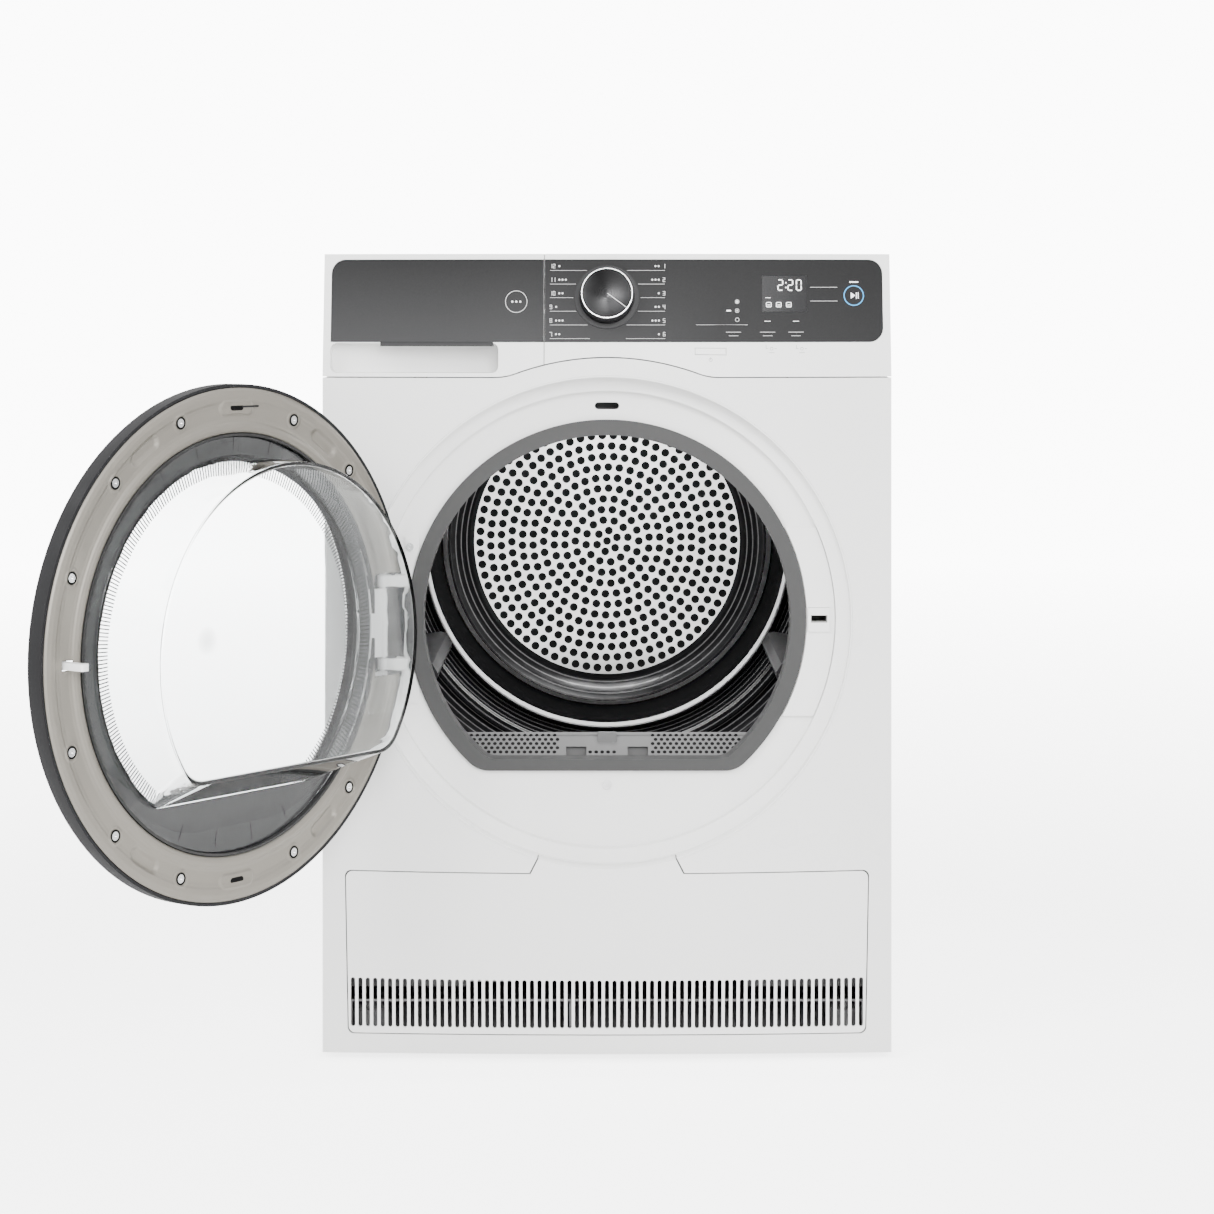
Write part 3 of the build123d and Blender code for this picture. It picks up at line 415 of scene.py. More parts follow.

# %% [markdown]
# Each bright ring is a painted reflection on a band between two radii. A pair of comparisons gives 1 inside the band
# and 0 outside it, and the fine pressed grooves, fainter painted reflections, come from the same test on a radius
# that repeats.

# %% The drum's polished rings, drawn as painted reflections
DRUM_AXIS_Z = JOINTS["drum_spin"]["pos_m"][2]
BROAD_REFLECTION_BANDS = [(0.1935, 0.2008), (0.2155, 0.2215), (0.2435, 0.2475)]
GROOVE_REFLECTION_SETS = [(0.170, 0.190, 0.0066, 0.22), (0.2290, 0.2420, 0.0039, 0.25), (0.2510, 0.2800, 0.0057, 0.22)]


def band(tree, radius, low, high):
    above = math_node(tree, "GREATER_THAN", radius, low)
    below = math_node(tree, "LESS_THAN", radius, high)
    return math_node(tree, "MULTIPLY", above, below)


def drum_finish():
    mat, shader, where = start_finish("drum_steel", 0.2, 0.1)
    shader.inputs["Specular IOR Level"].default_value = 0.12
    tree = mat.node_tree
    links = tree.links
    parts = tree.nodes.new("ShaderNodeSeparateXYZ")
    links.new(where, parts.inputs[0])
    height = math_node(tree, "SUBTRACT", parts.outputs["Z"], DRUM_AXIS_Z)
    x_squared = math_node(tree, "MULTIPLY", parts.outputs["X"], parts.outputs["X"])
    radius = math_node(tree, "SQRT", math_node(tree, "MULTIPLY_ADD", height, height, x_squared))
    rings = 0.0
    for low, high in BROAD_REFLECTION_BANDS:
        rings = math_node(tree, "MAXIMUM", band(tree, radius, low, high), rings)
    for start, end, pitch, share in GROOVE_REFLECTION_SETS:
        turns = math_node(tree, "DIVIDE", math_node(tree, "SUBTRACT", radius, start), pitch)
        line = math_node(tree, "LESS_THAN", math_node(tree, "FRACT", turns), share)
        line = math_node(tree, "MULTIPLY", line, band(tree, radius, start, end))
        rings = math_node(tree, "MAXIMUM", math_node(tree, "MULTIPLY", line, 0.09), rings)
    lines = place_group(mat, BRUSHED)
    lines.inputs["Stretch"].default_value = (60.0, 900.0, 60.0)
    links.new(where, lines.inputs["Vector"])
    # Painted reflections: the steel is near black on its flat lands and near white on its rings.
    steel = blend_colour(mat, rings, (0.004, 0.004, 0.0045), (0.95, 0.95, 0.95))
    worn = run_range(mat, lines.outputs["Lines"], 0.35, 0.75, 0.0, 0.008)
    links.new(blend_colour(mat, worn, steel, (0.4, 0.4, 0.4)), shader.inputs["Base Color"])
    links.new(run_range(mat, lines.outputs["Lines"], 0.3, 0.7, 0.14, 0.28), shader.inputs["Roughness"])
    return mat


def disc_finish():
    """Bright rolled steel of the perforated disc, with painted shade that darkens it towards its foot."""
    mat, shader, where = start_finish("disc_steel", 0.42, 0.1)
    links = mat.node_tree.links
    parts = mat.node_tree.nodes.new("ShaderNodeSeparateXYZ")
    lines = place_group(mat, BRUSHED)
    lines.inputs["Stretch"].default_value = (12.0, 12.0, 300.0)
    links.new(where, parts.inputs[0])
    links.new(where, lines.inputs["Vector"])
    # Painted shade: the disc runs from near white down to dark grey over its lowest 48 mm.
    rise = run_range(mat, parts.outputs["Z"], DRUM_AXIS_Z - 0.168, DRUM_AXIS_Z - 0.12, 0.0, 1.0)
    body = blend_colour(mat, rise, (0.30, 0.30, 0.30), (0.97, 0.97, 0.97))
    grain = run_range(mat, lines.outputs["Lines"], 0.3, 0.7, 0.0, 0.12)
    links.new(blend_colour(mat, grain, body, (0.8, 0.8, 0.8)), shader.inputs["Base Color"])
    links.new(run_range(mat, lines.outputs["Lines"], 0.3, 0.7, 0.36, 0.5), shader.inputs["Roughness"])
    return mat


FINISH["drum_steel"] = drum_finish()
DISC_STEEL = disc_finish()
print("rings on the drum's rear wall:", len(BROAD_REFLECTION_BANDS), "broad and", len(GROOVE_REFLECTION_SETS), "grooved sets")

# %% [markdown]
# A few finishes serve only the printed marks and the lit signs. White ink is matt, the lit signs glow
# a little, and the start field has a blue ring.


# %% Inks and lit signs
def glowing(name, colour, strength):
    mat = moulded(name, colour, 0.5, dust=0.0)
    shader = mat.node_tree.nodes["Principled BSDF"]
    lit = mat.node_tree.nodes.new("ShaderNodeTexNoise")
    lit.inputs["Scale"].default_value = 400.0
    where = mat.node_tree.nodes.new("ShaderNodeTexCoord").outputs["Object"]
    mat.node_tree.links.new(where, lit.inputs["Vector"])
    dimmer = tuple(0.9 * c for c in colour)
    lit_colour = blend_colour(mat, lit.outputs["Fac"], dimmer, colour)
    mat.node_tree.links.new(lit_colour, shader.inputs["Emission Color"])
    shader.inputs["Emission Strength"].default_value = strength
    return mat


WHITE_INK = moulded("white_ink", (0.72, 0.72, 0.72), 0.6, dust=0.0)
GREY_INK = moulded("grey_ink", (0.20, 0.20, 0.21), 0.6, dust=0.0)
# This dark grey serves the printed ticks, and the painted shade and texture of the bowl's flat foot.
PRINT_AND_SHADE_GREY = moulded("print_and_shade_grey", (0.030, 0.030, 0.031), 0.5, grain=700.0, dust=0.0, gloss=0.2)
LIT_WHITE = glowing("lit_white", (1.0, 1.0, 1.0), 1.1)
LIT_BLUE = glowing("lit_blue", (0.03, 0.30, 0.62), 0.35)
DEEP_BLACK = moulded("deep_black", (0.003, 0.003, 0.003), 0.8, dust=0.0, gloss=0.1)

# %% [markdown]
# The CAD nodes take the finish of their slot. A node read from CAD comes as loose triangles, so a round
# part shows its facets. Where it matters, a copy is joined into one skin and shaded smooth, with the
# real edges kept crisp, and stands in for the node.


# %% Finishes on the CAD nodes
def put_finish(obj, mat):
    obj.data.materials.clear()
    obj.data.materials.append(mat)


for node_name, node in frame["nodes"].items():
    put_finish(node, FINISH[SLOT_OF[node_name]])


def body_of_node(node_name):
    for body_name, members in frame["record"]["behaviour"]["bodies"].items():
        if node_name in members:
            return body_name


def settle(obj, body, slot, *replaced):
    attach(obj, body)
    if replaced:
        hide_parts(*replaced)
    return obj


def smooth_skin(node_name, crease=32.0):
    """A copy of a node as one joined skin: smooth where it curves, sharp at its real edges."""
    mesh = frame["nodes"][node_name].data.copy()
    mesh.name = node_name + "_skin"
    bm = bmesh.new()
    bm.from_mesh(mesh)
    bmesh.ops.remove_doubles(bm, verts=bm.verts, dist=1e-6)
    for face in bm.faces:
        face.smooth = True
    for edge in bm.edges:
        if len(edge.link_faces) == 2:
            edge.smooth = edge.calc_face_angle(0.0) < math.radians(crease)
    bm.to_mesh(mesh)
    bm.free()
    piece = bpy.data.objects.new(node_name + "_skin", mesh)
    bpy.context.collection.objects.link(piece)
    return settle(piece, body_of_node(node_name), SLOT_OF[node_name], node_name)


SKINNED = ["front_panel", "recess_ring", "loading_seal", "control_fascia", "control_panel",
           "drawer_front", "drawer_insert", "knob_bezel", "programme_knob", "kick_panel",
           "door_frame", "door_glass", "door_gasket", "drum_shell", "drum_lifters",
           "latch_cover", "worktop", "power_button", "door_screws", "panel_screws", "hinge_leaf",
           "hinge_bracket", "level_feet", "drain_spigot", "base_tray", "compressor"]
for node_name in SKINNED:
    smooth_skin(node_name)
print("skins:", len(SKINNED))

# %% [markdown]
# The clear bowl of the door is moulded with generous round edges, which bend the light into bright
# rims. The CAD bowl has square edges, so its copy is cleaned of needless edges and bevelled.


# %% The door's clear bowl
BOWL_ROUNDING = 2.4 * MM


def rounded_bowl():
    mesh = frame["nodes"]["door_bowl"].data.copy()
    bm = bmesh.new()
    bm.from_mesh(mesh)
    bmesh.ops.remove_doubles(bm, verts=bm.verts, dist=1e-6)
    bmesh.ops.dissolve_limit(bm, angle_limit=math.radians(0.5), verts=bm.verts, edges=bm.edges)
    sharp = [e for e in bm.edges if len(e.link_faces) == 2 and e.calc_face_angle(0.0) > math.radians(50)]
    bmesh.ops.bevel(bm, geom=sharp, offset=BOWL_ROUNDING, segments=4, profile=0.5, affect="EDGES",
                    clamp_overlap=True)
    bmesh.ops.triangulate(bm, faces=[f for f in bm.faces if len(f.verts) > 4])
    for face in bm.faces:
        face.smooth = True
    bm.to_mesh(mesh)
    bm.free()
    mesh.set_sharp_from_angle(angle=math.radians(40))
    piece = bpy.data.objects.new("door_bowl_moulded", mesh)
    bpy.context.collection.objects.link(piece)
    return settle(piece, "door", "clear_glass", "door_bowl")


rounded_bowl()

# %% [markdown]
# Every printed mark lies on the bowed face of the control strip. Rather than working out that curve
# again, each point of a mark is dropped straight back onto the CAD surface, and the mark is lifted off
# it by a fraction of a millimetre. A mark is a thin closed prism, so it has real edges.


# %% Marks that follow a surface
def surface_of(*node_names):
    """A search tree over the faces of some nodes, to drop points onto."""
    corners = []
    faces = []
    for node_name in node_names:
        data = frame["nodes"][node_name].data
        start = len(corners)
        corners += [v.co.copy() for v in data.vertices]
        faces += [[start + i for i in p.vertices] for p in data.polygons]
    return BVHTree.FromPolygons(corners, faces)


def dropped(tree, x, z, lift):
    """The point of the surface behind (x, z), lifted off it. Lengths are in millimetres."""
    hit = tree.ray_cast(Vector((x * MM, -0.5, z * MM)), Vector((0, 1, 0)))[0]
    if hit is None:
        raise ValueError(f"no surface behind x {x:.1f}, z {z:.1f}")
    return hit - Vector((0, lift * MM, 0))


class Marks:
    """Collects thin prisms on a surface, then makes them one mesh."""

    def __init__(self, tree, lift=0.12, sink=0.1):
        self.tree = tree
        self.lift = lift
        self.sink = sink
        self.bm = bmesh.new()

    def plate(self, outline):
        """A filled outline, given as points counter-clockwise as seen from the front."""
        near = [self.bm.verts.new(dropped(self.tree, x, z, self.lift)) for x, z in outline]
        far = [self.bm.verts.new(dropped(self.tree, x, z, -self.sink)) for x, z in outline]
        self.bm.faces.new(near)
        self.bm.faces.new(far[::-1])
        for i in range(len(near)):
            j = (i + 1) % len(near)
            self.bm.faces.new((near[i], far[i], far[j], near[j]))

    def band(self, outer, inner):
        """The strip between two closed outlines with as many points each."""
        rows = []
        layers = ((outer, self.lift), (outer, -self.sink), (inner, -self.sink), (inner, self.lift))
        for outline, lift in layers:
            rows.append([self.bm.verts.new(dropped(self.tree, x, z, lift)) for x, z in outline])
        for a, b in zip(rows, rows[1:] + rows[:1]):
            for i in range(len(a)):
                j = (i + 1) % len(a)
                self.bm.faces.new((a[i], b[i], b[j], a[j]))

    def bar(self, x0, x1, z0, z1):
        steps = max(1, int(abs(x1 - x0) / 6))
        xs = [x0 + (x1 - x0) * i / steps for i in range(steps + 1)]
        self.plate([(x, z0) for x in xs] + [(x, z1) for x in reversed(xs)])

    def line(self, xa, za, xb, zb, width):
        """A straight stroke between two points."""
        length = math.hypot(xb - xa, zb - za)
        across = (-(zb - za) / length * width / 2, (xb - xa) / length * width / 2)
        self.plate([(xa - across[0], za - across[1]), (xb - across[0], zb - across[1]),
                    (xb + across[0], zb + across[1]), (xa + across[0], za + across[1])])

    def disc(self, x, z, radius, steps=20):
        self.plate(round_points(x, z, radius, steps))

    def hoop(self, x, z, radius, width, steps=48):
        self.band(round_points(x, z, radius, steps), round_points(x, z, radius - width, steps))

    def frame(self, x0, x1, z0, z1, corner, width):
        self.band(rounded_box(x0, x1, z0, z1, corner),
                  rounded_box(x0 + width, x1 - width, z0 + width, z1 - width, max(corner - width, 0.1)))

    def finished(self, name, mat, body, slot):
        bmesh.ops.recalc_face_normals(self.bm, faces=self.bm.faces)
        mesh = bpy.data.meshes.new(name)
        self.bm.to_mesh(mesh)
        self.bm.free()
        mesh.materials.append(mat)
        piece = bpy.data.objects.new(name, mesh)
        bpy.context.collection.objects.link(piece)
        return settle(piece, body, slot)


def round_points(x, z, radius, steps):
    turns = [2 * math.pi * i / steps for i in range(steps)]
    return [(x + radius * math.cos(t), z + radius * math.sin(t)) for t in turns]


def rounded_box(x0, x1, z0, z1, corner, steps=5):
    """The outline of a rectangle with round corners, counter-clockwise."""
    centres = [(x1 - corner, z0 + corner, -90), (x1 - corner, z1 - corner, 0),
               (x0 + corner, z1 - corner, 90), (x0 + corner, z0 + corner, 180)]
    points = []
    for cx, cz, start in centres:
        for i in range(steps + 1):
            turn = math.radians(start + 90 * i / steps)
            points.append((cx + corner * math.cos(turn), cz + corner * math.sin(turn)))
    return points


# %% [markdown]
# Numbers are drawn as a clock display draws them, from seven straight strokes. The same strokes, drawn
# thinner, number the twelve programmes round the dial.

# %% Seven-stroke figures
STROKES = {"top": ((0, 2), (1, 2)), "upper_right": ((1, 2), (1, 1)), "lower_right": ((1, 1), (1, 0)),
           "foot": ((0, 0), (1, 0)), "lower_left": ((0, 1), (0, 0)), "upper_left": ((0, 2), (0, 1)),
           "middle": ((0, 1), (1, 1))}
FIGURES = {
    0: "top upper_right lower_right foot lower_left upper_left",
    1: "upper_right lower_right",
    2: "top upper_right middle lower_left foot",
    3: "top upper_right middle lower_right foot",
    4: "upper_left middle upper_right lower_right",
    5: "top upper_left middle lower_right foot",
    6: "top upper_left middle lower_left lower_right foot",
    7: "top upper_right lower_right",
    8: "top upper_right lower_right foot lower_left upper_left middle",
    9: "top upper_right lower_right foot upper_left middle",
}


def figure(marks, digit, x, z, width, height, weight, gap=0.0):
    """One digit whose lower left corner is at (x, z)."""
    for stroke in FIGURES[digit].split():
        (ax, az), (bx, bz) = STROKES[stroke]
        start = Vector((x + ax * width, z + az * height / 2))
        end = Vector((x + bx * width, z + bz * height / 2))
        along = (end - start).normalized()
        start += along * (gap - weight / 2 * (gap == 0))
        end -= along * (gap - weight / 2 * (gap == 0))
        marks.line(start.x, start.y, end.x, end.y, weight)


def number(marks, value, x, z, height, weight):
    """A whole number that starts at x. Returns where it ends."""
    for digit in str(value):
        figure(marks, int(digit), x, z, height * 0.5, height, weight)
        x += height * 0.5 + height * 0.32
    return x


# %% [markdown]
# Six programmes stand on each side of the dial. Each has its number, a row of drops for how much heat
# it uses and a thin line below. The drops and numbers are this model's own.

# %% Programme marks round the dial
PANEL = surface_of("control_panel", "drawer_insert")
ROW_HEIGHTS = [837.0, 822.6, 808.3, 794.0, 779.6, 765.3]
LEFT_MARKS = (-60.0, -18.0)
RIGHT_MARKS = (20.0, 61.0)
DIAL_CLEAR = 35.5
KNOB_AT = [value / MM for value in JOINTS["selector_turn"]["pos_m"]]


def programme_row(marks, value, x0, x1, z, from_left):
    digits = len(str(value))
    span = 2.0 * digits + 1.28 * (digits - 1)
    start = x0 if from_left else x1 - span
    number(marks, value, start, z - 2.0, 4.0, 0.5)
    heat = 1 + value % 3
    for i in range(heat):
        offset = span + 4.5 + 3.4 * i
        x = x0 + offset if from_left else x1 - offset
        marks.disc(x, z, 1.05, 12)
    below = z - 4.6
    reach = math.sqrt(max(DIAL_CLEAR ** 2 - (below - KNOB_AT[2]) ** 2, 0.0))
    near, far = (x0, min(x1, -reach)) if from_left else (max(x0, reach), x1)
    marks.bar(near, far, below - 0.16, below + 0.16)


programme_marks = Marks(PANEL)
for row, z in enumerate(ROW_HEIGHTS):
    programme_row(programme_marks, 12 - row, *LEFT_MARKS, z, True)
    programme_row(programme_marks, 1 + row, *RIGHT_MARKS, z, False)
programme_marks.finished("programme_marks", WHITE_INK, "cabinet", "white_plastic")
print("programme rows:", 2 * len(ROW_HEIGHTS))

# %% [markdown]
# To the right of the dial come the dryness scale, two option fields, the lit display and the start
# field in its blue ring. Those are touch fields, so they are flat print on the panel. The plain ring
# with three dots, to the left of the dial, is drawn with them and so belongs to the cabinet too.

# %% Dryness scale, options and badge
option_marks = Marks(PANEL)
for i, z in enumerate((799.5, 790.0, 780.5)):
    option_marks.hoop(137.0, z, 2.2, 0.45, 20)
    if i < 2:
        option_marks.disc(137.0, z, 1.35 - 0.5 * i, 14)
option_marks.bar(93.5, 148.0, 775.0, 775.3)
for x in (133.0, 169.0, 199.0):
    option_marks.bar(x - 8.0, x + 8.0, 767.2, 767.6)
    option_marks.bar(x - 5.0, x + 5.0, 763.4, 763.8)
for z in (814.5, 800.0):
    option_marks.bar(214.5, 243.5, z, z + 0.35)
option_marks.hoop(-95.5, 799.5, 11.6, 0.5, 56)
for i in (-1, 0, 1):
    option_marks.disc(-95.5 + 4.2 * i, 799.5, 1.2, 14)
option_marks.finished("option_marks", WHITE_INK, "cabinet", "white_plastic")

lit_marks = Marks(PANEL)
lit_marks.bar(125.8, 130.4, 789.3, 790.7)
for x in (169.0, 199.0):
    lit_marks.bar(x - 3.2, x + 3.2, 778.6, 779.1)
lit_marks.bar(256.5, 266.0, 819.6, 820.9)
lit_marks.plate([(257.9, 802.7), (262.4, 806.0), (257.9, 809.3)])
for x in (263.4, 265.4):
    lit_marks.bar(x, x + 0.8, 802.7, 809.3)
lit_marks.finished("lit_marks", LIT_WHITE, "cabinet", "white_plastic")

start_ring = Marks(PANEL, lift=0.2)
start_ring.hoop(261.0, 806.0, 10.9, 1.15, 64)
start_ring.finished("start_ring", LIT_BLUE, "cabinet", "white_plastic")

# %% [markdown]
# The display is a smoked pane with lit figures behind it. The figures are drawn just on the pane, in
# front of it, because a lit stroke behind smoked plastic would lose its light in a render this small.

# %% The display's time and signs
PANE = surface_of("display_window")
PANE_HIGH = [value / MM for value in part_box("display_window")[1]]
display_marks = Marks(PANE)
FIGURE_W = 5.0
FIGURE_H = 11.0
cursor = PANE_HIGH[0] - 30.5
for place, digit in enumerate((2, 2, 0)):
    figure(display_marks, digit, cursor, 811.5, FIGURE_W, FIGURE_H, 1.15, gap=0.55)
    cursor += FIGURE_W + 4.0
    if place == 0:
        for z in (814.5, 819.5):
            display_marks.disc(cursor - 0.6, z, 0.75, 10)
        cursor += 1.6
for i in range(3):
    x = 170.5 + 10.6 * i
    display_marks.frame(x - 2.9, x + 2.9, 793.6, 799.0, 1.2, 0.7)
    display_marks.bar(x - 1.6, x + 1.6, 795.6, 796.4)
display_marks.bar(167.0, 172.5, 803.4, 803.9)
display_marks.finished("display_figures", LIT_WHITE, "cabinet", "white_plastic")

WHITE_FACE = surface_of("control_fascia", "power_button")
fascia_marks = Marks(WHITE_FACE)
for x in (173.0, 205.0):
    fascia_marks.hoop(x, 750.0, 1.7, 0.4, 16)
    fascia_marks.bar(x - 6.0, x - 3.6, 750.0, 750.4)
    fascia_marks.bar(x - 6.0, x - 5.6, 750.4, 754.0)
    fascia_marks.bar(x + 3.0, x + 5.6, 749.9, 750.3)
    fascia_marks.bar(x - 3.0, x + 3.0, 745.6, 746.0)
fascia_marks.hoop(108.7, 738.5, 1.9, 0.4, 20)
fascia_marks.bar(108.5, 108.9, 738.2, 741.2)
fascia_marks.finished("fascia_marks", GREY_INK, "cabinet", "white_plastic")
print("marks on the panel: options, lit signs, display, fascia")

# %% [markdown]
# The dial is a turned aluminium cap on a black skirt. Its finish draws the fine turned rings, and the
# pale fan that a lamp lays across them. A thin bright rim runs round the edge, and one fine line points at the chosen
# programme. The cap is turned as a profile round the dial's own axis, which leans back with the panel.

# %% The dial's turned cap
KNOB_AXIS = Vector(JOINTS["selector_turn"]["axis"]).normalized()
KNOB_LOW, KNOB_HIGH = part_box("programme_knob")
KNOB_RADIUS = (KNOB_HIGH[0] - KNOB_LOW[0]) / 2
KNOB_CENTRE = Vector(JOINTS["selector_turn"]["pos_m"])
KNOB_TOP = 21.8 * MM


def knob_frame():
    """From a flat drawing, with its own Z as the dial's axis, to where the dial is."""
    turn = KNOB_AXIS.to_track_quat("Z", "Y").to_matrix().to_4x4()
    return Matrix.Translation(KNOB_CENTRE) @ turn


def turned_mesh(name, profile, steps=96):
    """A closed solid of revolution about Z. The profile is (radius, height) from foot to head."""
    bm = bmesh.new()
    rings = []
    for radius, height in profile:
        if radius == 0:
            rings.append([bm.verts.new((0, 0, height))])
        else:
            turns = [2 * math.pi * i / steps for i in range(steps)]
            rings.append([bm.verts.new((radius * math.cos(t), radius * math.sin(t), height)) for t in turns])
    for a, b in zip(rings, rings[1:] + rings[:1]):
        if len(a) == 1 and len(b) == 1:
            continue
        for i in range(steps):
            j = (i + 1) % steps
            corners = [a[i % len(a)], a[j % len(a)], b[j % len(b)], b[i % len(b)]]
            unique = list(dict.fromkeys(corners))
            bm.faces.new(unique)
    bmesh.ops.recalc_face_normals(bm, faces=bm.faces)
    for face in bm.faces:
        face.smooth = True
    mesh = bpy.data.meshes.new(name)
    bm.to_mesh(mesh)
    bm.free()
    mesh.set_sharp_from_angle(angle=math.radians(35))
    return mesh


def linked(name, mesh, mat):
    mesh.materials.clear()
    mesh.materials.append(mat)
    obj = bpy.data.objects.new(name, mesh)
    bpy.context.collection.objects.link(obj)
    return obj


def dial_finish():
    """Dark aluminium turned in rings, with a pale fan from the lamp's side to the centre."""
    mat, shader, where = start_finish("dial_metal", 0.3, 0.85)
    tree = mat.node_tree
    offset = tree.nodes.new("ShaderNodeVectorMath")
    offset.operation = "SUBTRACT"
    offset.inputs[1].default_value = KNOB_CENTRE
    tree.links.new(where, offset.inputs[0])
    parts = tree.nodes.new("ShaderNodeSeparateXYZ")
    tree.links.new(offset.outputs[0], parts.inputs[0])
    turn = math_node(tree, "ARCTAN2", parts.outputs["Z"], parts.outputs["X"])
    fan = math_node(tree, "COSINE", math_node(tree, "SUBTRACT", math_node(tree, "MULTIPLY", turn, 2.0), 1.5))
    sheen = run_range(mat, fan, -0.6, 1.0, 0.0, 1.0)
    length = tree.nodes.new("ShaderNodeVectorMath")
    length.operation = "LENGTH"
    tree.links.new(offset.outputs[0], length.inputs[0])
    ripple = math_node(tree, "SINE", math_node(tree, "MULTIPLY", length.outputs["Value"], 9000.0))
    fine = run_range(mat, ripple, -1.0, 1.0, 0.0, 0.25)
    body = blend_colour(mat, sheen, (0.006, 0.006, 0.0065), (0.036, 0.036, 0.037))
    tree.links.new(blend_colour(mat, fine, body, (0.025, 0.025, 0.025)), shader.inputs["Base Color"])
    tree.links.new(run_range(mat, ripple, -1.0, 1.0, 0.24, 0.36), shader.inputs["Roughness"])
    return mat


FACE_R = KNOB_RADIUS - 1.7 * MM
face = turned_mesh("dial_face", [(0, KNOB_TOP - 0.6 * MM), (FACE_R, KNOB_TOP - 0.6 * MM),
                                 (FACE_R, KNOB_TOP), (FACE_R - 0.3 * MM, KNOB_TOP + 0.15 * MM),
                                 (0, KNOB_TOP + 0.15 * MM)])
RIM_R = FACE_R + 1.0 * MM
rim = turned_mesh("dial_rim", [(FACE_R, KNOB_TOP - 0.5 * MM), (RIM_R, KNOB_TOP - 0.9 * MM),
                               (RIM_R, KNOB_TOP - 0.1 * MM), (FACE_R + 0.6 * MM, KNOB_TOP + 0.25 * MM),
                               (FACE_R, KNOB_TOP + 0.25 * MM)])
for mesh in (face, rim):
    mesh.transform(knob_frame())
settle(linked("dial_face", face, dial_finish()), "selector", "black_plastic")
settle(linked("dial_rim", rim, FINISH["chrome"]), "selector", "chrome")


def pointer_mesh():
    """A fine raised line from the centre to the rim, towards the lower right."""
    bm = bmesh.new()
    bmesh.ops.create_cube(bm, size=1.0)
    bmesh.ops.bevel(bm, geom=list(bm.edges), offset=0.08, segments=2, profile=0.5, affect="EDGES")
    mesh = bpy.data.meshes.new("dial_pointer")
    bm.to_mesh(mesh)
    bm.free()
    length = FACE_R - 1.0 * MM
    mesh.transform(Matrix.Diagonal((length, 0.65 * MM, 0.5 * MM, 1)))
    mesh.transform(Matrix.Translation((FACE_R - length / 2 - 0.3 * MM, 0, KNOB_TOP + 0.15 * MM)))
    across = knob_frame().inverted() @ (KNOB_CENTRE + Vector((0.8, 0, -0.62)))
    mesh.transform(Matrix.Rotation(math.atan2(across.y, across.x), 4, "Z"))
    mesh.transform(knob_frame())
    return mesh


settle(linked("dial_pointer", pointer_mesh(), WHITE_INK), "selector", "white_plastic")
print("dial radius in mm:", round(KNOB_RADIUS / MM, 2))

# %% [markdown]
# The perforated disc at the back of the drum lets the warm air in. Its holes stand in rings round one
# in the middle: six in the first ring, twelve in the second and so on. Geometry Nodes can lay such a
# rule out from one count. The holes are circles on points, and Fill Curve turns the rim and all the
# circles into one sheet with holes, which is then given its thickness. The centres follow from a
# point's index: ring n starts after 3n(n-1) points.

# %% Geometry Nodes helpers
def geometry_tree(name, inputs):
    tree = bpy.data.node_groups.new(name, "GeometryNodeTree")
    tree.interface.new_socket("Geometry", in_out="OUTPUT", socket_type="NodeSocketGeometry")
    for label, kind in inputs:
        tree.interface.new_socket(label, in_out="INPUT", socket_type=kind)
    return tree, tree.nodes.new("NodeGroupInput"), tree.nodes.new("NodeGroupOutput")


def grown(name, tree, values):
    """Run a tree once and keep what it makes as a plain mesh."""
    seed = bpy.data.objects.new(name + "_seed", bpy.data.meshes.new(name + "_seed"))
    bpy.context.collection.objects.link(seed)
    modifier = seed.modifiers.new("grow", "NODES")
    modifier.node_group = tree
    for item in tree.interface.items_tree:
        if item.item_type == "SOCKET" and item.in_out == "INPUT" and item.name in values:
            modifier[item.identifier] = values[item.name]
    bpy.context.view_layer.update()
    result = bpy.data.meshes.new_from_object(seed.evaluated_get(bpy.context.evaluated_depsgraph_get()))
    result.name = name
    seed.modifiers.clear()
    bpy.data.objects.remove(seed)
    return result


def node(tree, kind, **settings):
    made = tree.nodes.new(kind)
    for key, value in settings.items():
        setattr(made, key, value)
    return made


def tie(tree, source, sink):
    tree.links.new(source, sink)


def closed_sheet(tree, flat, thickness):
    """Give a flat sheet its thickness: lift a copy, and turn the first one over for the back."""
    raised = node(tree, "GeometryNodeExtrudeMesh")
    raised.inputs["Individual"].default_value = False
    tie(tree, flat, raised.inputs["Mesh"])
    tie(tree, thickness, raised.inputs["Offset Scale"])
    back = node(tree, "GeometryNodeFlipFaces")
    tie(tree, flat, back.inputs["Mesh"])
    both = node(tree, "GeometryNodeJoinGeometry")
    tie(tree, raised.outputs["Mesh"], both.inputs[0])
    tie(tree, back.outputs["Mesh"], both.inputs[0])
    welded = node(tree, "GeometryNodeMergeByDistance")
    welded.inputs["Distance"].default_value = 1e-5
    tie(tree, both.outputs[0], welded.inputs["Geometry"])
    return welded.outputs["Geometry"]


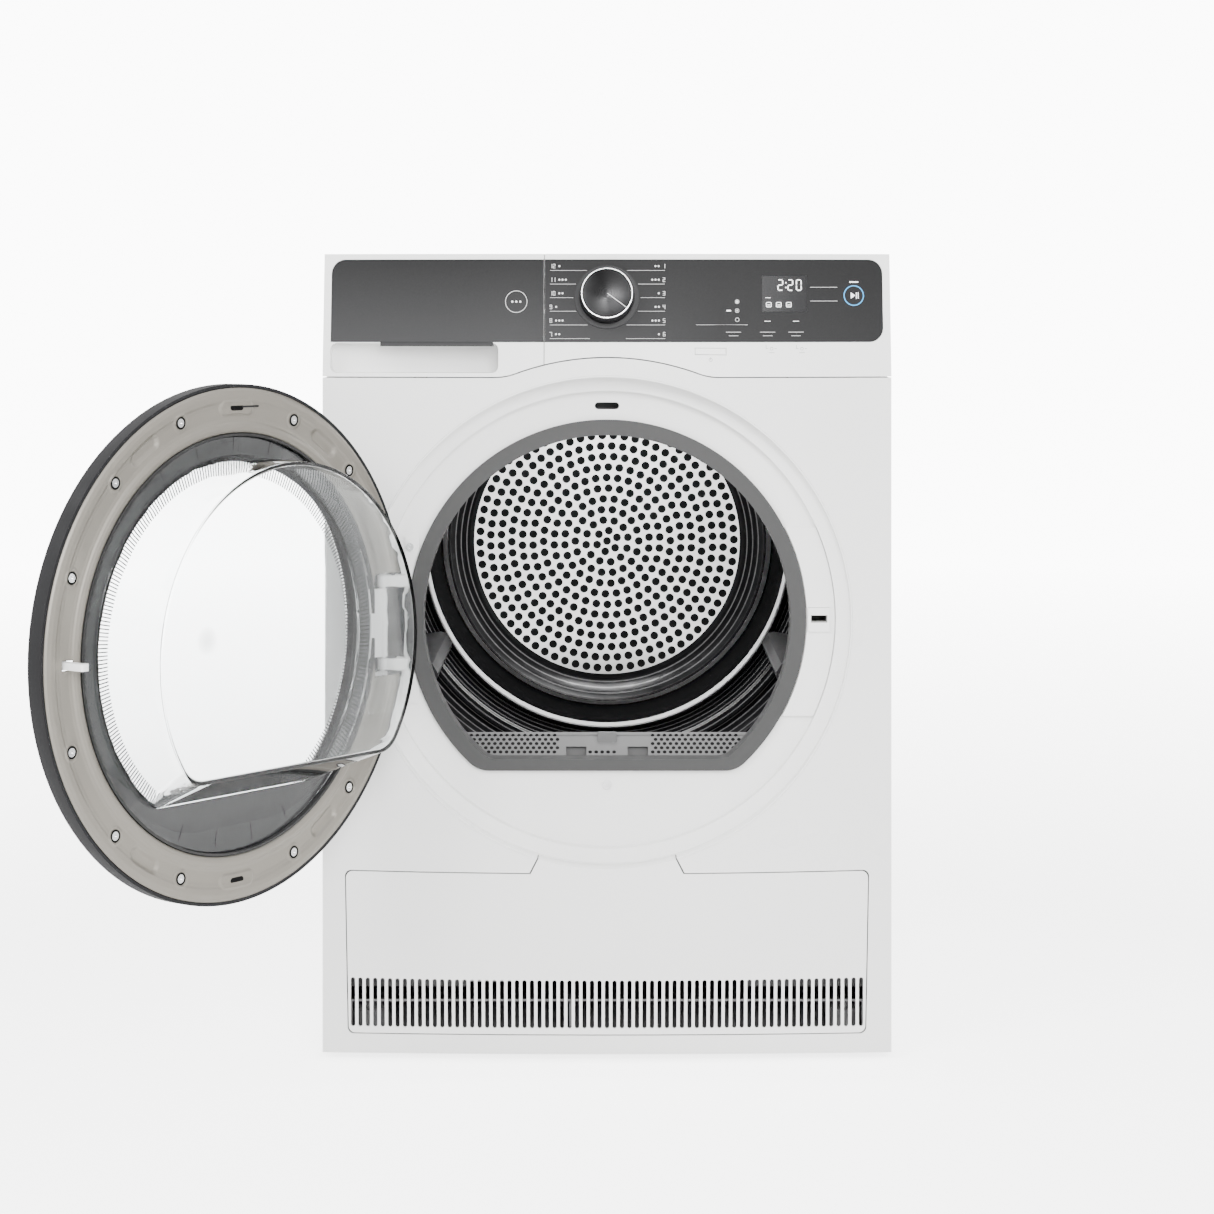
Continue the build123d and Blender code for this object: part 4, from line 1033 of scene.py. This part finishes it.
# %% The tree for a disc with rings of holes
def perforated_disc_tree():
    tree, source, sink = geometry_tree("perforated_disc", [
        ("Disc radius", "NodeSocketFloat"), ("Hole radius", "NodeSocketFloat"),
        ("Ring pitch", "NodeSocketFloat"), ("Rings", "NodeSocketInt"),
        ("Thickness", "NodeSocketFloat"), ("Material", "NodeSocketMaterial")])
    rings = source.outputs["Rings"]
    index = node(tree, "GeometryNodeInputIndex").outputs[0]
    inside = math_node(tree, "SQRT", math_node(tree, "MULTIPLY_ADD", index, 12.0, 9.0))
    ring = math_node(tree, "FLOOR", math_node(tree, "DIVIDE", math_node(tree, "ADD", inside, 3.0001), 6.0))
    before = math_node(tree, "MULTIPLY", math_node(tree, "MULTIPLY", ring, 3.0),
                       math_node(tree, "SUBTRACT", ring, 1.0))
    place = math_node(tree, "DIVIDE", math_node(tree, "SUBTRACT", index, before), ring)
    turn = math_node(tree, "MULTIPLY", place, math.pi / 3)
    turn = math_node(tree, "ADD", turn, math_node(tree, "MULTIPLY", ring, 0.35))
    radius = math_node(tree, "MULTIPLY", ring, source.outputs["Ring pitch"])
    spot = node(tree, "ShaderNodeCombineXYZ")
    tie(tree, math_node(tree, "MULTIPLY", radius, math_node(tree, "COSINE", turn)), spot.inputs["X"])
    tie(tree, math_node(tree, "MULTIPLY", radius, math_node(tree, "SINE", turn)), spot.inputs["Y"])
    count = math_node(tree, "MULTIPLY", math_node(tree, "MULTIPLY", rings, 3.0),
                      math_node(tree, "ADD", rings, 1.0))
    points = node(tree, "GeometryNodePoints")
    tie(tree, count, points.inputs["Count"])
    tie(tree, spot.outputs[0], points.inputs["Position"])
    hole = node(tree, "GeometryNodeCurvePrimitiveCircle")
    hole.inputs["Resolution"].default_value = 14
    tie(tree, source.outputs["Hole radius"], hole.inputs["Radius"])
    holes = node(tree, "GeometryNodeInstanceOnPoints")
    tie(tree, points.outputs[0], holes.inputs["Points"])
    tie(tree, hole.outputs["Curve"], holes.inputs["Instance"])
    real_holes = node(tree, "GeometryNodeRealizeInstances")
    tie(tree, holes.outputs[0], real_holes.inputs[0])
    edge = node(tree, "GeometryNodeCurvePrimitiveCircle")
    edge.inputs["Resolution"].default_value = 160
    tie(tree, source.outputs["Disc radius"], edge.inputs["Radius"])
    outlines = node(tree, "GeometryNodeJoinGeometry")
    for geometry in (edge.outputs["Curve"], hole.outputs["Curve"], real_holes.outputs[0]):
        tie(tree, geometry, outlines.inputs[0])
    sheet = node(tree, "GeometryNodeFillCurve")
    tie(tree, outlines.outputs[0], sheet.inputs["Curve"])
    solid = closed_sheet(tree, sheet.outputs["Mesh"], source.outputs["Thickness"])
    real = node(tree, "GeometryNodeRealizeInstances")
    tie(tree, solid, real.inputs[0])
    finish = node(tree, "GeometryNodeSetMaterial")
    tie(tree, real.outputs[0], finish.inputs["Geometry"])
    tie(tree, source.outputs["Material"], finish.inputs["Material"])
    tie(tree, finish.outputs[0], sink.inputs[0])
    return tree


# %% The perforated disc, upright at the back of the drum
DISC_LOW, DISC_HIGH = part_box("drum_rear_disc")
DISC_RADIUS = (DISC_HIGH[0] - DISC_LOW[0]) / 2
FACING_FRONT = Matrix.Rotation(math.radians(90), 4, "X")
disc = grown("drum_perforated_disc", perforated_disc_tree(), {
    "Disc radius": DISC_RADIUS, "Hole radius": 4.95 * MM, "Ring pitch": 12.9 * MM, "Rings": 12,
    "Thickness": 1.0 * MM, "Material": DISC_STEEL})
disc.transform(FACING_FRONT)
disc.transform(Matrix.Translation((0, DISC_LOW[1] + 1.0 * MM, DRUM_AXIS_Z)))
settle(linked("drum_perforated_disc", disc, DISC_STEEL), "drum", "drum_steel", "drum_rear_disc")
# A thin black sheet just behind the perforated disc is painted shade, so that the holes read dark.
shade = turned_mesh("drum_shade_sheet", [(0, 0), (DISC_RADIUS - 2 * MM, 0), (DISC_RADIUS - 2 * MM, 0.3 * MM),
                                      (0, 0.3 * MM)])
shade.transform(FACING_FRONT)
shade.transform(Matrix.Translation((0, DISC_LOW[1] + 1.7 * MM, DRUM_AXIS_Z)))
settle(linked("drum_shade_sheet", shade, DEEP_BLACK), "drum", "black_plastic")
print("perforated disc:", len(disc.polygons), "faces")

# %% [markdown]
# The door carries two printed rings that hide its glue line: a fine fan of dark ticks, and outside it a
# dark band that also fills the flat foot of the window. The ticks are a bar repeated round a circle, so
# they too are grown by Geometry Nodes. Both are drawn as if the door were shut, where the ring stands
# upright and central, and are then swung open about the hinge with the door.


# %% The tree for a ring of bars
def bar_ring_tree():
    tree, source, sink = geometry_tree("bar_ring", [
        ("Count", "NodeSocketInt"), ("Radius", "NodeSocketFloat"), ("Length", "NodeSocketFloat"),
        ("Width", "NodeSocketFloat"), ("Thickness", "NodeSocketFloat"),
        ("First turn", "NodeSocketFloat"), ("Step", "NodeSocketFloat"),
        ("Lowest", "NodeSocketFloat"), ("Material", "NodeSocketMaterial")])
    index = node(tree, "GeometryNodeInputIndex").outputs[0]
    turn = math_node(tree, "MULTIPLY_ADD", index, source.outputs["Step"], source.outputs["First turn"])
    spot = node(tree, "ShaderNodeCombineXYZ")
    radius = source.outputs["Radius"]
    tie(tree, math_node(tree, "MULTIPLY", radius, math_node(tree, "COSINE", turn)), spot.inputs["X"])
    tie(tree, math_node(tree, "MULTIPLY", radius, math_node(tree, "SINE", turn)), spot.inputs["Y"])
    points = node(tree, "GeometryNodePoints")
    tie(tree, source.outputs["Count"], points.inputs["Count"])
    tie(tree, spot.outputs[0], points.inputs["Position"])
    facing = node(tree, "ShaderNodeCombineXYZ")
    tie(tree, turn, facing.inputs["Z"])
    size = node(tree, "ShaderNodeCombineXYZ")
    for label, axis in (("Length", "X"), ("Width", "Y"), ("Thickness", "Z")):
        tie(tree, source.outputs[label], size.inputs[axis])
    bar = node(tree, "GeometryNodeMeshCube")
    tie(tree, size.outputs[0], bar.inputs["Size"])
    low = node(tree, "ShaderNodeSeparateXYZ")
    tie(tree, node(tree, "GeometryNodeInputPosition").outputs[0], low.inputs[0])
    kept = math_node(tree, "GREATER_THAN", low.outputs["Y"], source.outputs["Lowest"])
    bars = node(tree, "GeometryNodeInstanceOnPoints")
    tie(tree, kept, bars.inputs["Selection"])
    tie(tree, points.outputs[0], bars.inputs["Points"])
    tie(tree, bar.outputs["Mesh"], bars.inputs["Instance"])
    tie(tree, facing.outputs[0], bars.inputs["Rotation"])
    real = node(tree, "GeometryNodeRealizeInstances")
    tie(tree, bars.outputs[0], real.inputs[0])
    finish = node(tree, "GeometryNodeSetMaterial")
    tie(tree, real.outputs[0], finish.inputs["Geometry"])
    tie(tree, source.outputs["Material"], finish.inputs["Material"])
    tie(tree, finish.outputs[0], sink.inputs[0])
    return tree


BAR_RING = bar_ring_tree()

# %% Swinging a drawing of the shut door to where the open door stands
HINGE = Vector(JOINTS["door_hinge"]["pos_m"])
OPEN_BY = math.radians(JOINTS["door_hinge"]["range_deg"][1])
RING_Z = HINGE.z
SWING = Matrix.Translation(HINGE) @ Matrix.Rotation(-OPEN_BY, 4, "Z") @ Matrix.Translation(-HINGE)


def on_door(mesh, depth):
    """Stand a flat drawing upright at a depth behind the shut door's plane, then open it."""
    mesh.transform(FACING_FRONT)
    mesh.transform(Matrix.Translation((0, depth * MM, RING_Z)))
    mesh.transform(SWING)
    return mesh


def tick_ring(name, count, radius, length, width, mat, first=0.0, sweep=360.0, lowest=-1.0, depth=-6.0):
    mesh = grown(name, BAR_RING, {
        "Count": count, "Radius": radius * MM, "Length": length * MM, "Width": width * MM,
        "Thickness": 0.3 * MM, "First turn": math.radians(first),
        "Step": math.radians(sweep) / count, "Lowest": lowest, "Material": mat})
    return settle(linked(name, on_door(mesh, depth), mat), "door", "smoked_glass")


# %% The door's printed rings
FLAT_FOOT = -0.147
tick_ring("door_fine_ticks", 300, 171.5, 12.0, 1.25, PRINT_AND_SHADE_GREY, lowest=FLAT_FOOT)
tick_ring("door_upper_marks", 5, 196.0, 13.0, 0.6, DEEP_BLACK, first=60.0, sweep=75.0, depth=-5.2)
tick_ring("door_lower_marks", 4, 190.0, 15.0, 0.6, DEEP_BLACK, first=-112.5, sweep=60.0, depth=-5.2)


def close_rows(bm, rows):
    """Join rows of corners, each a closed loop, into the skin of a closed ring."""
    steps = len(rows[0])
    for a, b in zip(rows, rows[1:] + rows[:1]):
        for i in range(steps):
            j = (i + 1) % steps
            bm.faces.new((a[i], a[j], b[j], b[i]))
    bmesh.ops.recalc_face_normals(bm, faces=bm.faces)


def print_band():
    """A thin plate: round outside, and inside a circle cut off by the window's flat foot."""
    outer, inner = 203.0, 177.5
    steps = 180
    bm = bmesh.new()
    rows = []
    for radius, z in ((outer, 0.0), (outer, 0.3), (inner, 0.3), (inner, 0.0)):
        row = []
        for i in range(steps):
            turn = 2 * math.pi * i / steps
            y = radius * math.sin(turn)
            reach = radius
            if radius == inner and y < FLAT_FOOT / MM:
                reach = FLAT_FOOT / MM / math.sin(turn)
            row.append(bm.verts.new((reach * math.cos(turn) * MM, reach * math.sin(turn) * MM, z * MM)))
        rows.append(row)
    close_rows(bm, rows)
    mesh = bpy.data.meshes.new("door_print_band")
    bm.to_mesh(mesh)
    bm.free()
    return mesh


def band_finish():
    """Dark print in fine rows of dots, so that it is a little lighter than solid ink."""
    mat, shader, where = start_finish("band_print", 0.5)
    shader.inputs["Specular IOR Level"].default_value = 0.2
    dots = mat.node_tree.nodes.new("ShaderNodeTexVoronoi")
    dots.inputs["Scale"].default_value = 420.0
    dots.inputs["Randomness"].default_value = 0.15
    mat.node_tree.links.new(where, dots.inputs["Vector"])
    dot = run_range(mat, dots.outputs["Distance"], 0.25, 0.55, 0.0, 1.0)
    colour = blend_colour(mat, dot, (0.026, 0.026, 0.027), (0.038, 0.038, 0.039))
    mat.node_tree.links.new(colour, shader.inputs["Base Color"])
    return mat


settle(linked("door_print_band", on_door(print_band(), -5.7), band_finish()), "door", "smoked_glass")


def shelf_print():
    """A grey sheet on the inside of the bowl's sloping flat foot: its hatched texture, with painted shade where
    refraction darkens it.
    """
    front, back = (-1.0, -143.6), (74.0, -113.2)
    half_front, half_back = 100.0, 112.0
    thick = 0.3
    corners = []
    for lift in (0.0, thick):
        for (y, z), half in ((front, half_front), (back, half_back)):
            corners += [(-half * MM, y * MM, (z + lift) * MM), (half * MM, y * MM, (z + lift) * MM)]
    faces = [(0, 2, 3, 1), (4, 5, 7, 6), (0, 1, 5, 4), (2, 6, 7, 3), (0, 4, 6, 2), (1, 3, 7, 5)]
    mesh = bpy.data.meshes.new("door_bowl_shelf")
    mesh.from_pydata(corners, [], faces)
    mesh.transform(Matrix.Translation((0, 0, RING_Z)))
    mesh.transform(SWING)
    return mesh


settle(linked("door_bowl_shelf", shelf_print(), PRINT_AND_SHADE_GREY), "door", "smoked_glass")
print("the door's prints stand open by", round(math.degrees(OPEN_BY), 1), "degrees")

# %% [markdown]
# The warm grey ring inside the door is a pressed moulding: a raised bead, a flat land with sunken
# screw wells, and four long dimples. It is drawn on a grid that follows the ring, because each dimple
# and well can then be pushed into the grid by a smooth formula. A solidify modifier gives it its wall.

# %% The door's inner ring
RING_PROFILE = [(206.7, -0.6), (207.5, 1.0), (209.5, 1.9), (212.5, 2.0), (215.5, 1.3),
                (218.5, -0.1), (222.0, -0.6), (227.0, -0.6), (232.0, -0.6), (236.0, -0.1),
                (239.5, 0.9), (244.0, 1.2), (248.5, 0.7), (251.3, -0.8)]
SCREW_TURNS = [20.3, 45.5, 70.7, 110.8, 135.5]
DIMPLE_TURNS = [57.5, 123.5, -57.5, -123.5]
SCREW_LAND = 232.0
LAND_WALL = 2.2


def profile_depth(radius):
    for (r0, d0), (r1, d1) in zip(RING_PROFILE, RING_PROFILE[1:]):
        if r0 <= radius <= r1:
            share = (radius - r0) / (r1 - r0)
            soft = share * share * (3 - 2 * share)
            return d0 + (d1 - d0) * soft
    return RING_PROFILE[-1][1]


def step_down(distance, edge, blend):
    """1 well inside the edge and 0 well outside it, with a smooth change between."""
    share = min(max((edge + blend / 2 - distance) / blend, 0.0), 1.0)
    return share * share * (3 - 2 * share)


def ring_depth(radius, turn):
    depth = profile_depth(radius)
    for spot in SCREW_TURNS + [-t for t in SCREW_TURNS]:
        away = math.hypot(radius - SCREW_LAND, math.radians(turn - spot) * radius)
        depth += 0.9 * step_down(away, 8.6, 2.2) - 1.9 * step_down(away, 5.9, 1.2)
    for spot in DIMPLE_TURNS:
        along = max(abs(math.radians(turn - spot) * radius) - 13.0, 0.0)
        away = math.hypot(along, radius - 231.0)
        depth -= 2.6 * step_down(away, 6.0, 5.0)
    for spot, long in ((90.0, 16.0), (-90.0, 16.0)):
        along = max(abs(math.radians(turn - spot) * radius) - long, 0.0)
        away = math.hypot(along, radius - 232.0)
        depth += 1.3 * step_down(away, 7.0, 2.5)
    return depth


def inner_ring_mesh():
    radii = [206.7 + (251.3 - 206.7) * i / 56 for i in range(57)]
    turns = [-180 + 360 * i / 900 for i in range(900)]
    bm = bmesh.new()
    grid = [[bm.verts.new((r * math.cos(math.radians(t)) * MM, ring_depth(r, t) * MM,
                           r * math.sin(math.radians(t)) * MM)) for r in radii] for t in turns]
    for i in range(len(turns)):
        a, b = grid[i], grid[(i + 1) % len(turns)]
        for k in range(len(radii) - 1):
            middle = (a[k].co + b[k + 1].co) / 2
            behind_hinge = middle.x < -203.5 * MM and abs(middle.z) < 54 * MM
            at_catch = 216.0 * MM < middle.x < 229.0 * MM and abs(middle.z) < 4.4 * MM
            if not behind_hinge and not at_catch:
                bm.faces.new((a[k], a[k + 1], b[k + 1], b[k]))
    loose = [v for v in bm.verts if not v.link_faces]
    bmesh.ops.delete(bm, geom=loose, context="VERTS")
    for face in bm.faces:
        face.smooth = True
    mesh = bpy.data.meshes.new("door_ring_moulding")
    bm.to_mesh(mesh)
    bm.free()
    return mesh


ring = linked("door_ring_moulding", inner_ring_mesh(), FINISH["warm_grey"])
wall = ring.modifiers.new("wall", "SOLIDIFY")
wall.thickness = LAND_WALL * MM
wall.offset = 1.0
plain = bpy.data.meshes.new_from_object(ring.evaluated_get(bpy.context.evaluated_depsgraph_get()))
ring.modifiers.clear()
ring.data = plain
plain.transform(Matrix.Translation((0, 0, RING_Z)))
plain.transform(SWING)
settle(ring, "door", "warm_grey", "door_inner_ring")
print("door ring:", len(plain.polygons), "faces")


# %% [markdown]
# Each screw of the ring sits in a well whose mouth lies in shade. That shade is painted: thin closed black rings
# round the screws, made together as one mesh.


# %% Painted shade in the mouths of the screw wells
def well_mouths():
    """Ten flat black rings of painted shade, each standing just proud of the raised land round its screw."""
    steps = 28
    outer, inner, near, far = 6.1, 4.3, 0.32, 0.62
    bm = bmesh.new()
    for spot in SCREW_TURNS + [-t for t in SCREW_TURNS]:
        cx = SCREW_LAND * math.cos(math.radians(spot))
        cz = SCREW_LAND * math.sin(math.radians(spot))
        rows = []
        for radius, depth in ((outer, near), (outer, far), (inner, far), (inner, near)):
            around = [2 * math.pi * i / steps for i in range(steps)]
            rows.append([bm.verts.new(((cx + radius * math.cos(t)) * MM, depth * MM,
                                       RING_Z + (cz + radius * math.sin(t)) * MM)) for t in around])
        close_rows(bm, rows)
    mesh = bpy.data.meshes.new("door_well_shade_rings")
    bm.to_mesh(mesh)
    bm.free()
    mesh.transform(SWING)
    return mesh


settle(linked("door_well_shade_rings", well_mouths(), DEEP_BLACK), "door", "black_plastic")

# %% [markdown]
# Dark slots at the top and foot of the ring let the moulding breathe. Each is drawn as a short black pill
# of painted shade for the slot's dark opening, and stands on a raised boss of the ring.

# %% Slots of the door ring
def pill(name, centre_x, centre_z, half, radius, depth, mat, slot):
    outline = []
    for start, side in ((-90, 1), (90, -1)):
        for i in range(9):
            turn = math.radians(start + 180 * i / 8)
            x = centre_x + side * half + radius * math.cos(turn)
            outline.append((x, centre_z + radius * math.sin(turn)))
    bm = bmesh.new()
    near = [bm.verts.new((x * MM, depth * MM, RING_Z + z * MM)) for x, z in outline]
    far = [bm.verts.new((x * MM, (depth - 1.0) * MM, RING_Z + z * MM)) for x, z in outline]
    bm.faces.new(near)
    bm.faces.new(far[::-1])
    for i in range(len(near)):
        j = (i + 1) % len(near)
        bm.faces.new((near[i], far[i], far[j], near[j]))
    bmesh.ops.recalc_face_normals(bm, faces=bm.faces)
    mesh = bpy.data.meshes.new(name)
    bm.to_mesh(mesh)
    bm.free()
    mesh.transform(SWING)
    return settle(linked(name, mesh, mat), "door", slot)


# The two slots are black pills of painted shade, not cut openings.
pill("door_slot_top", 0.0, 232.0, 6.0, 3.0, 0.9, DEEP_BLACK, "black_plastic")
pill("door_slot_foot", 0.0, -232.0, 6.0, 3.0, 0.9, DEEP_BLACK, "black_plastic")
pill("door_lock_arm", -19.0, 232.5, 11.0, 0.9, 1.0, FINISH["dark_rim"], "dark_rim")

# %% [markdown]
# The lint filter's sloping top is a sheet with rows of round holes. They are many and tiny, so each is
# a small black disc of a few faces that sits on the sheet, painted shade for the dark inside of the hole.
# Geometry Nodes lay them out as a staggered grid, and each point is then dropped onto the slope of the CAD filter.


# %% The tree for a staggered grid of dots
def dot_grid_tree():
    tree, source, sink = geometry_tree("dot_grid", [
        ("Columns", "NodeSocketInt"), ("Rows", "NodeSocketInt"), ("Pitch", "NodeSocketFloat"),
        ("Dot radius", "NodeSocketFloat"), ("Thickness", "NodeSocketFloat"),
        ("Material", "NodeSocketMaterial")])
    index = node(tree, "GeometryNodeInputIndex").outputs[0]
    columns = source.outputs["Columns"]
    row = math_node(tree, "FLOOR", math_node(tree, "DIVIDE", math_node(tree, "ADD", index, 0.01), columns))
    column = math_node(tree, "SUBTRACT", index, math_node(tree, "MULTIPLY", row, columns))
    stagger = math_node(tree, "MULTIPLY", math_node(tree, "PINGPONG", row, 1.0), 0.5)
    x = math_node(tree, "MULTIPLY", math_node(tree, "ADD", column, stagger), source.outputs["Pitch"])
    y = math_node(tree, "MULTIPLY", math_node(tree, "MULTIPLY", row, 0.866), source.outputs["Pitch"])
    spot = node(tree, "ShaderNodeCombineXYZ")
    tie(tree, x, spot.inputs["X"])
    tie(tree, y, spot.inputs["Y"])
    points = node(tree, "GeometryNodePoints")
    tie(tree, math_node(tree, "MULTIPLY", columns, source.outputs["Rows"]), points.inputs["Count"])
    tie(tree, spot.outputs[0], points.inputs["Position"])
    dot = node(tree, "GeometryNodeMeshCylinder")
    dot.inputs["Vertices"].default_value = 10
    tie(tree, source.outputs["Dot radius"], dot.inputs["Radius"])
    tie(tree, source.outputs["Thickness"], dot.inputs["Depth"])
    dots = node(tree, "GeometryNodeInstanceOnPoints")
    tie(tree, points.outputs[0], dots.inputs["Points"])
    tie(tree, dot.outputs["Mesh"], dots.inputs["Instance"])
    real = node(tree, "GeometryNodeRealizeInstances")
    tie(tree, dots.outputs[0], real.inputs[0])
    finish = node(tree, "GeometryNodeSetMaterial")
    tie(tree, real.outputs[0], finish.inputs["Geometry"])
    tie(tree, source.outputs["Material"], finish.inputs["Material"])
    tie(tree, finish.outputs[0], sink.inputs[0])
    return tree


# %% Perforations on the filter's slope
FILTER = surface_of("lint_filter")
DOT_GRID = dot_grid_tree()


def drape(mesh, tree):
    """Drop a flat drawing, made in X and Y, onto a surface seen from the front."""
    for vertex in mesh.vertices:
        x, z, lift = vertex.co
        hit = tree.ray_cast(Vector((x, 0.0, z)), Vector((0, 1, 0)))[0]
        vertex.co = hit - Vector((0, lift, 0))
    mesh.flip_normals()


DOT_PITCH = 6.4
DOT_RADIUS = 2.05
ROW_STEP = 0.866    # of the pitch, in a staggered grid
SQUASH = 0.72       # the sheet leans away, so its rows look closer together from the front


def perforation(name, x0, x1, z0, z1):
    """One field of holes, drawn as black discs of painted shade, between x0 and x1 on the filter's slope."""
    rows = int((z1 - z0) / (DOT_PITCH * ROW_STEP * SQUASH)) + 1
    values = {"Columns": int((x1 - x0) / DOT_PITCH), "Rows": rows, "Pitch": DOT_PITCH * MM,
              "Dot radius": DOT_RADIUS * MM, "Thickness": 0.3 * MM, "Material": DEEP_BLACK}
    mesh = grown(name, DOT_GRID, values)
    mesh.transform(Matrix.Translation((x0 * MM, z0 * MM, 0)) @ Matrix.Diagonal((1, SQUASH, 1, 1)))
    drape(mesh, FILTER)
    return settle(linked(name, mesh, DEEP_BLACK), "filter", "filter_grey")


for label, x0, x1, z0, z1 in (("left", -146.0, -46.0, 317.0, 333.0), ("middle", -18.0, 20.0, 317.0, 320.0),
                              ("right", 49.0, 149.0, 317.0, 333.0)):
    perforation("filter_hole_shade_" + label, x0, x1, z0, z1)
print("filter perforated in three fields")
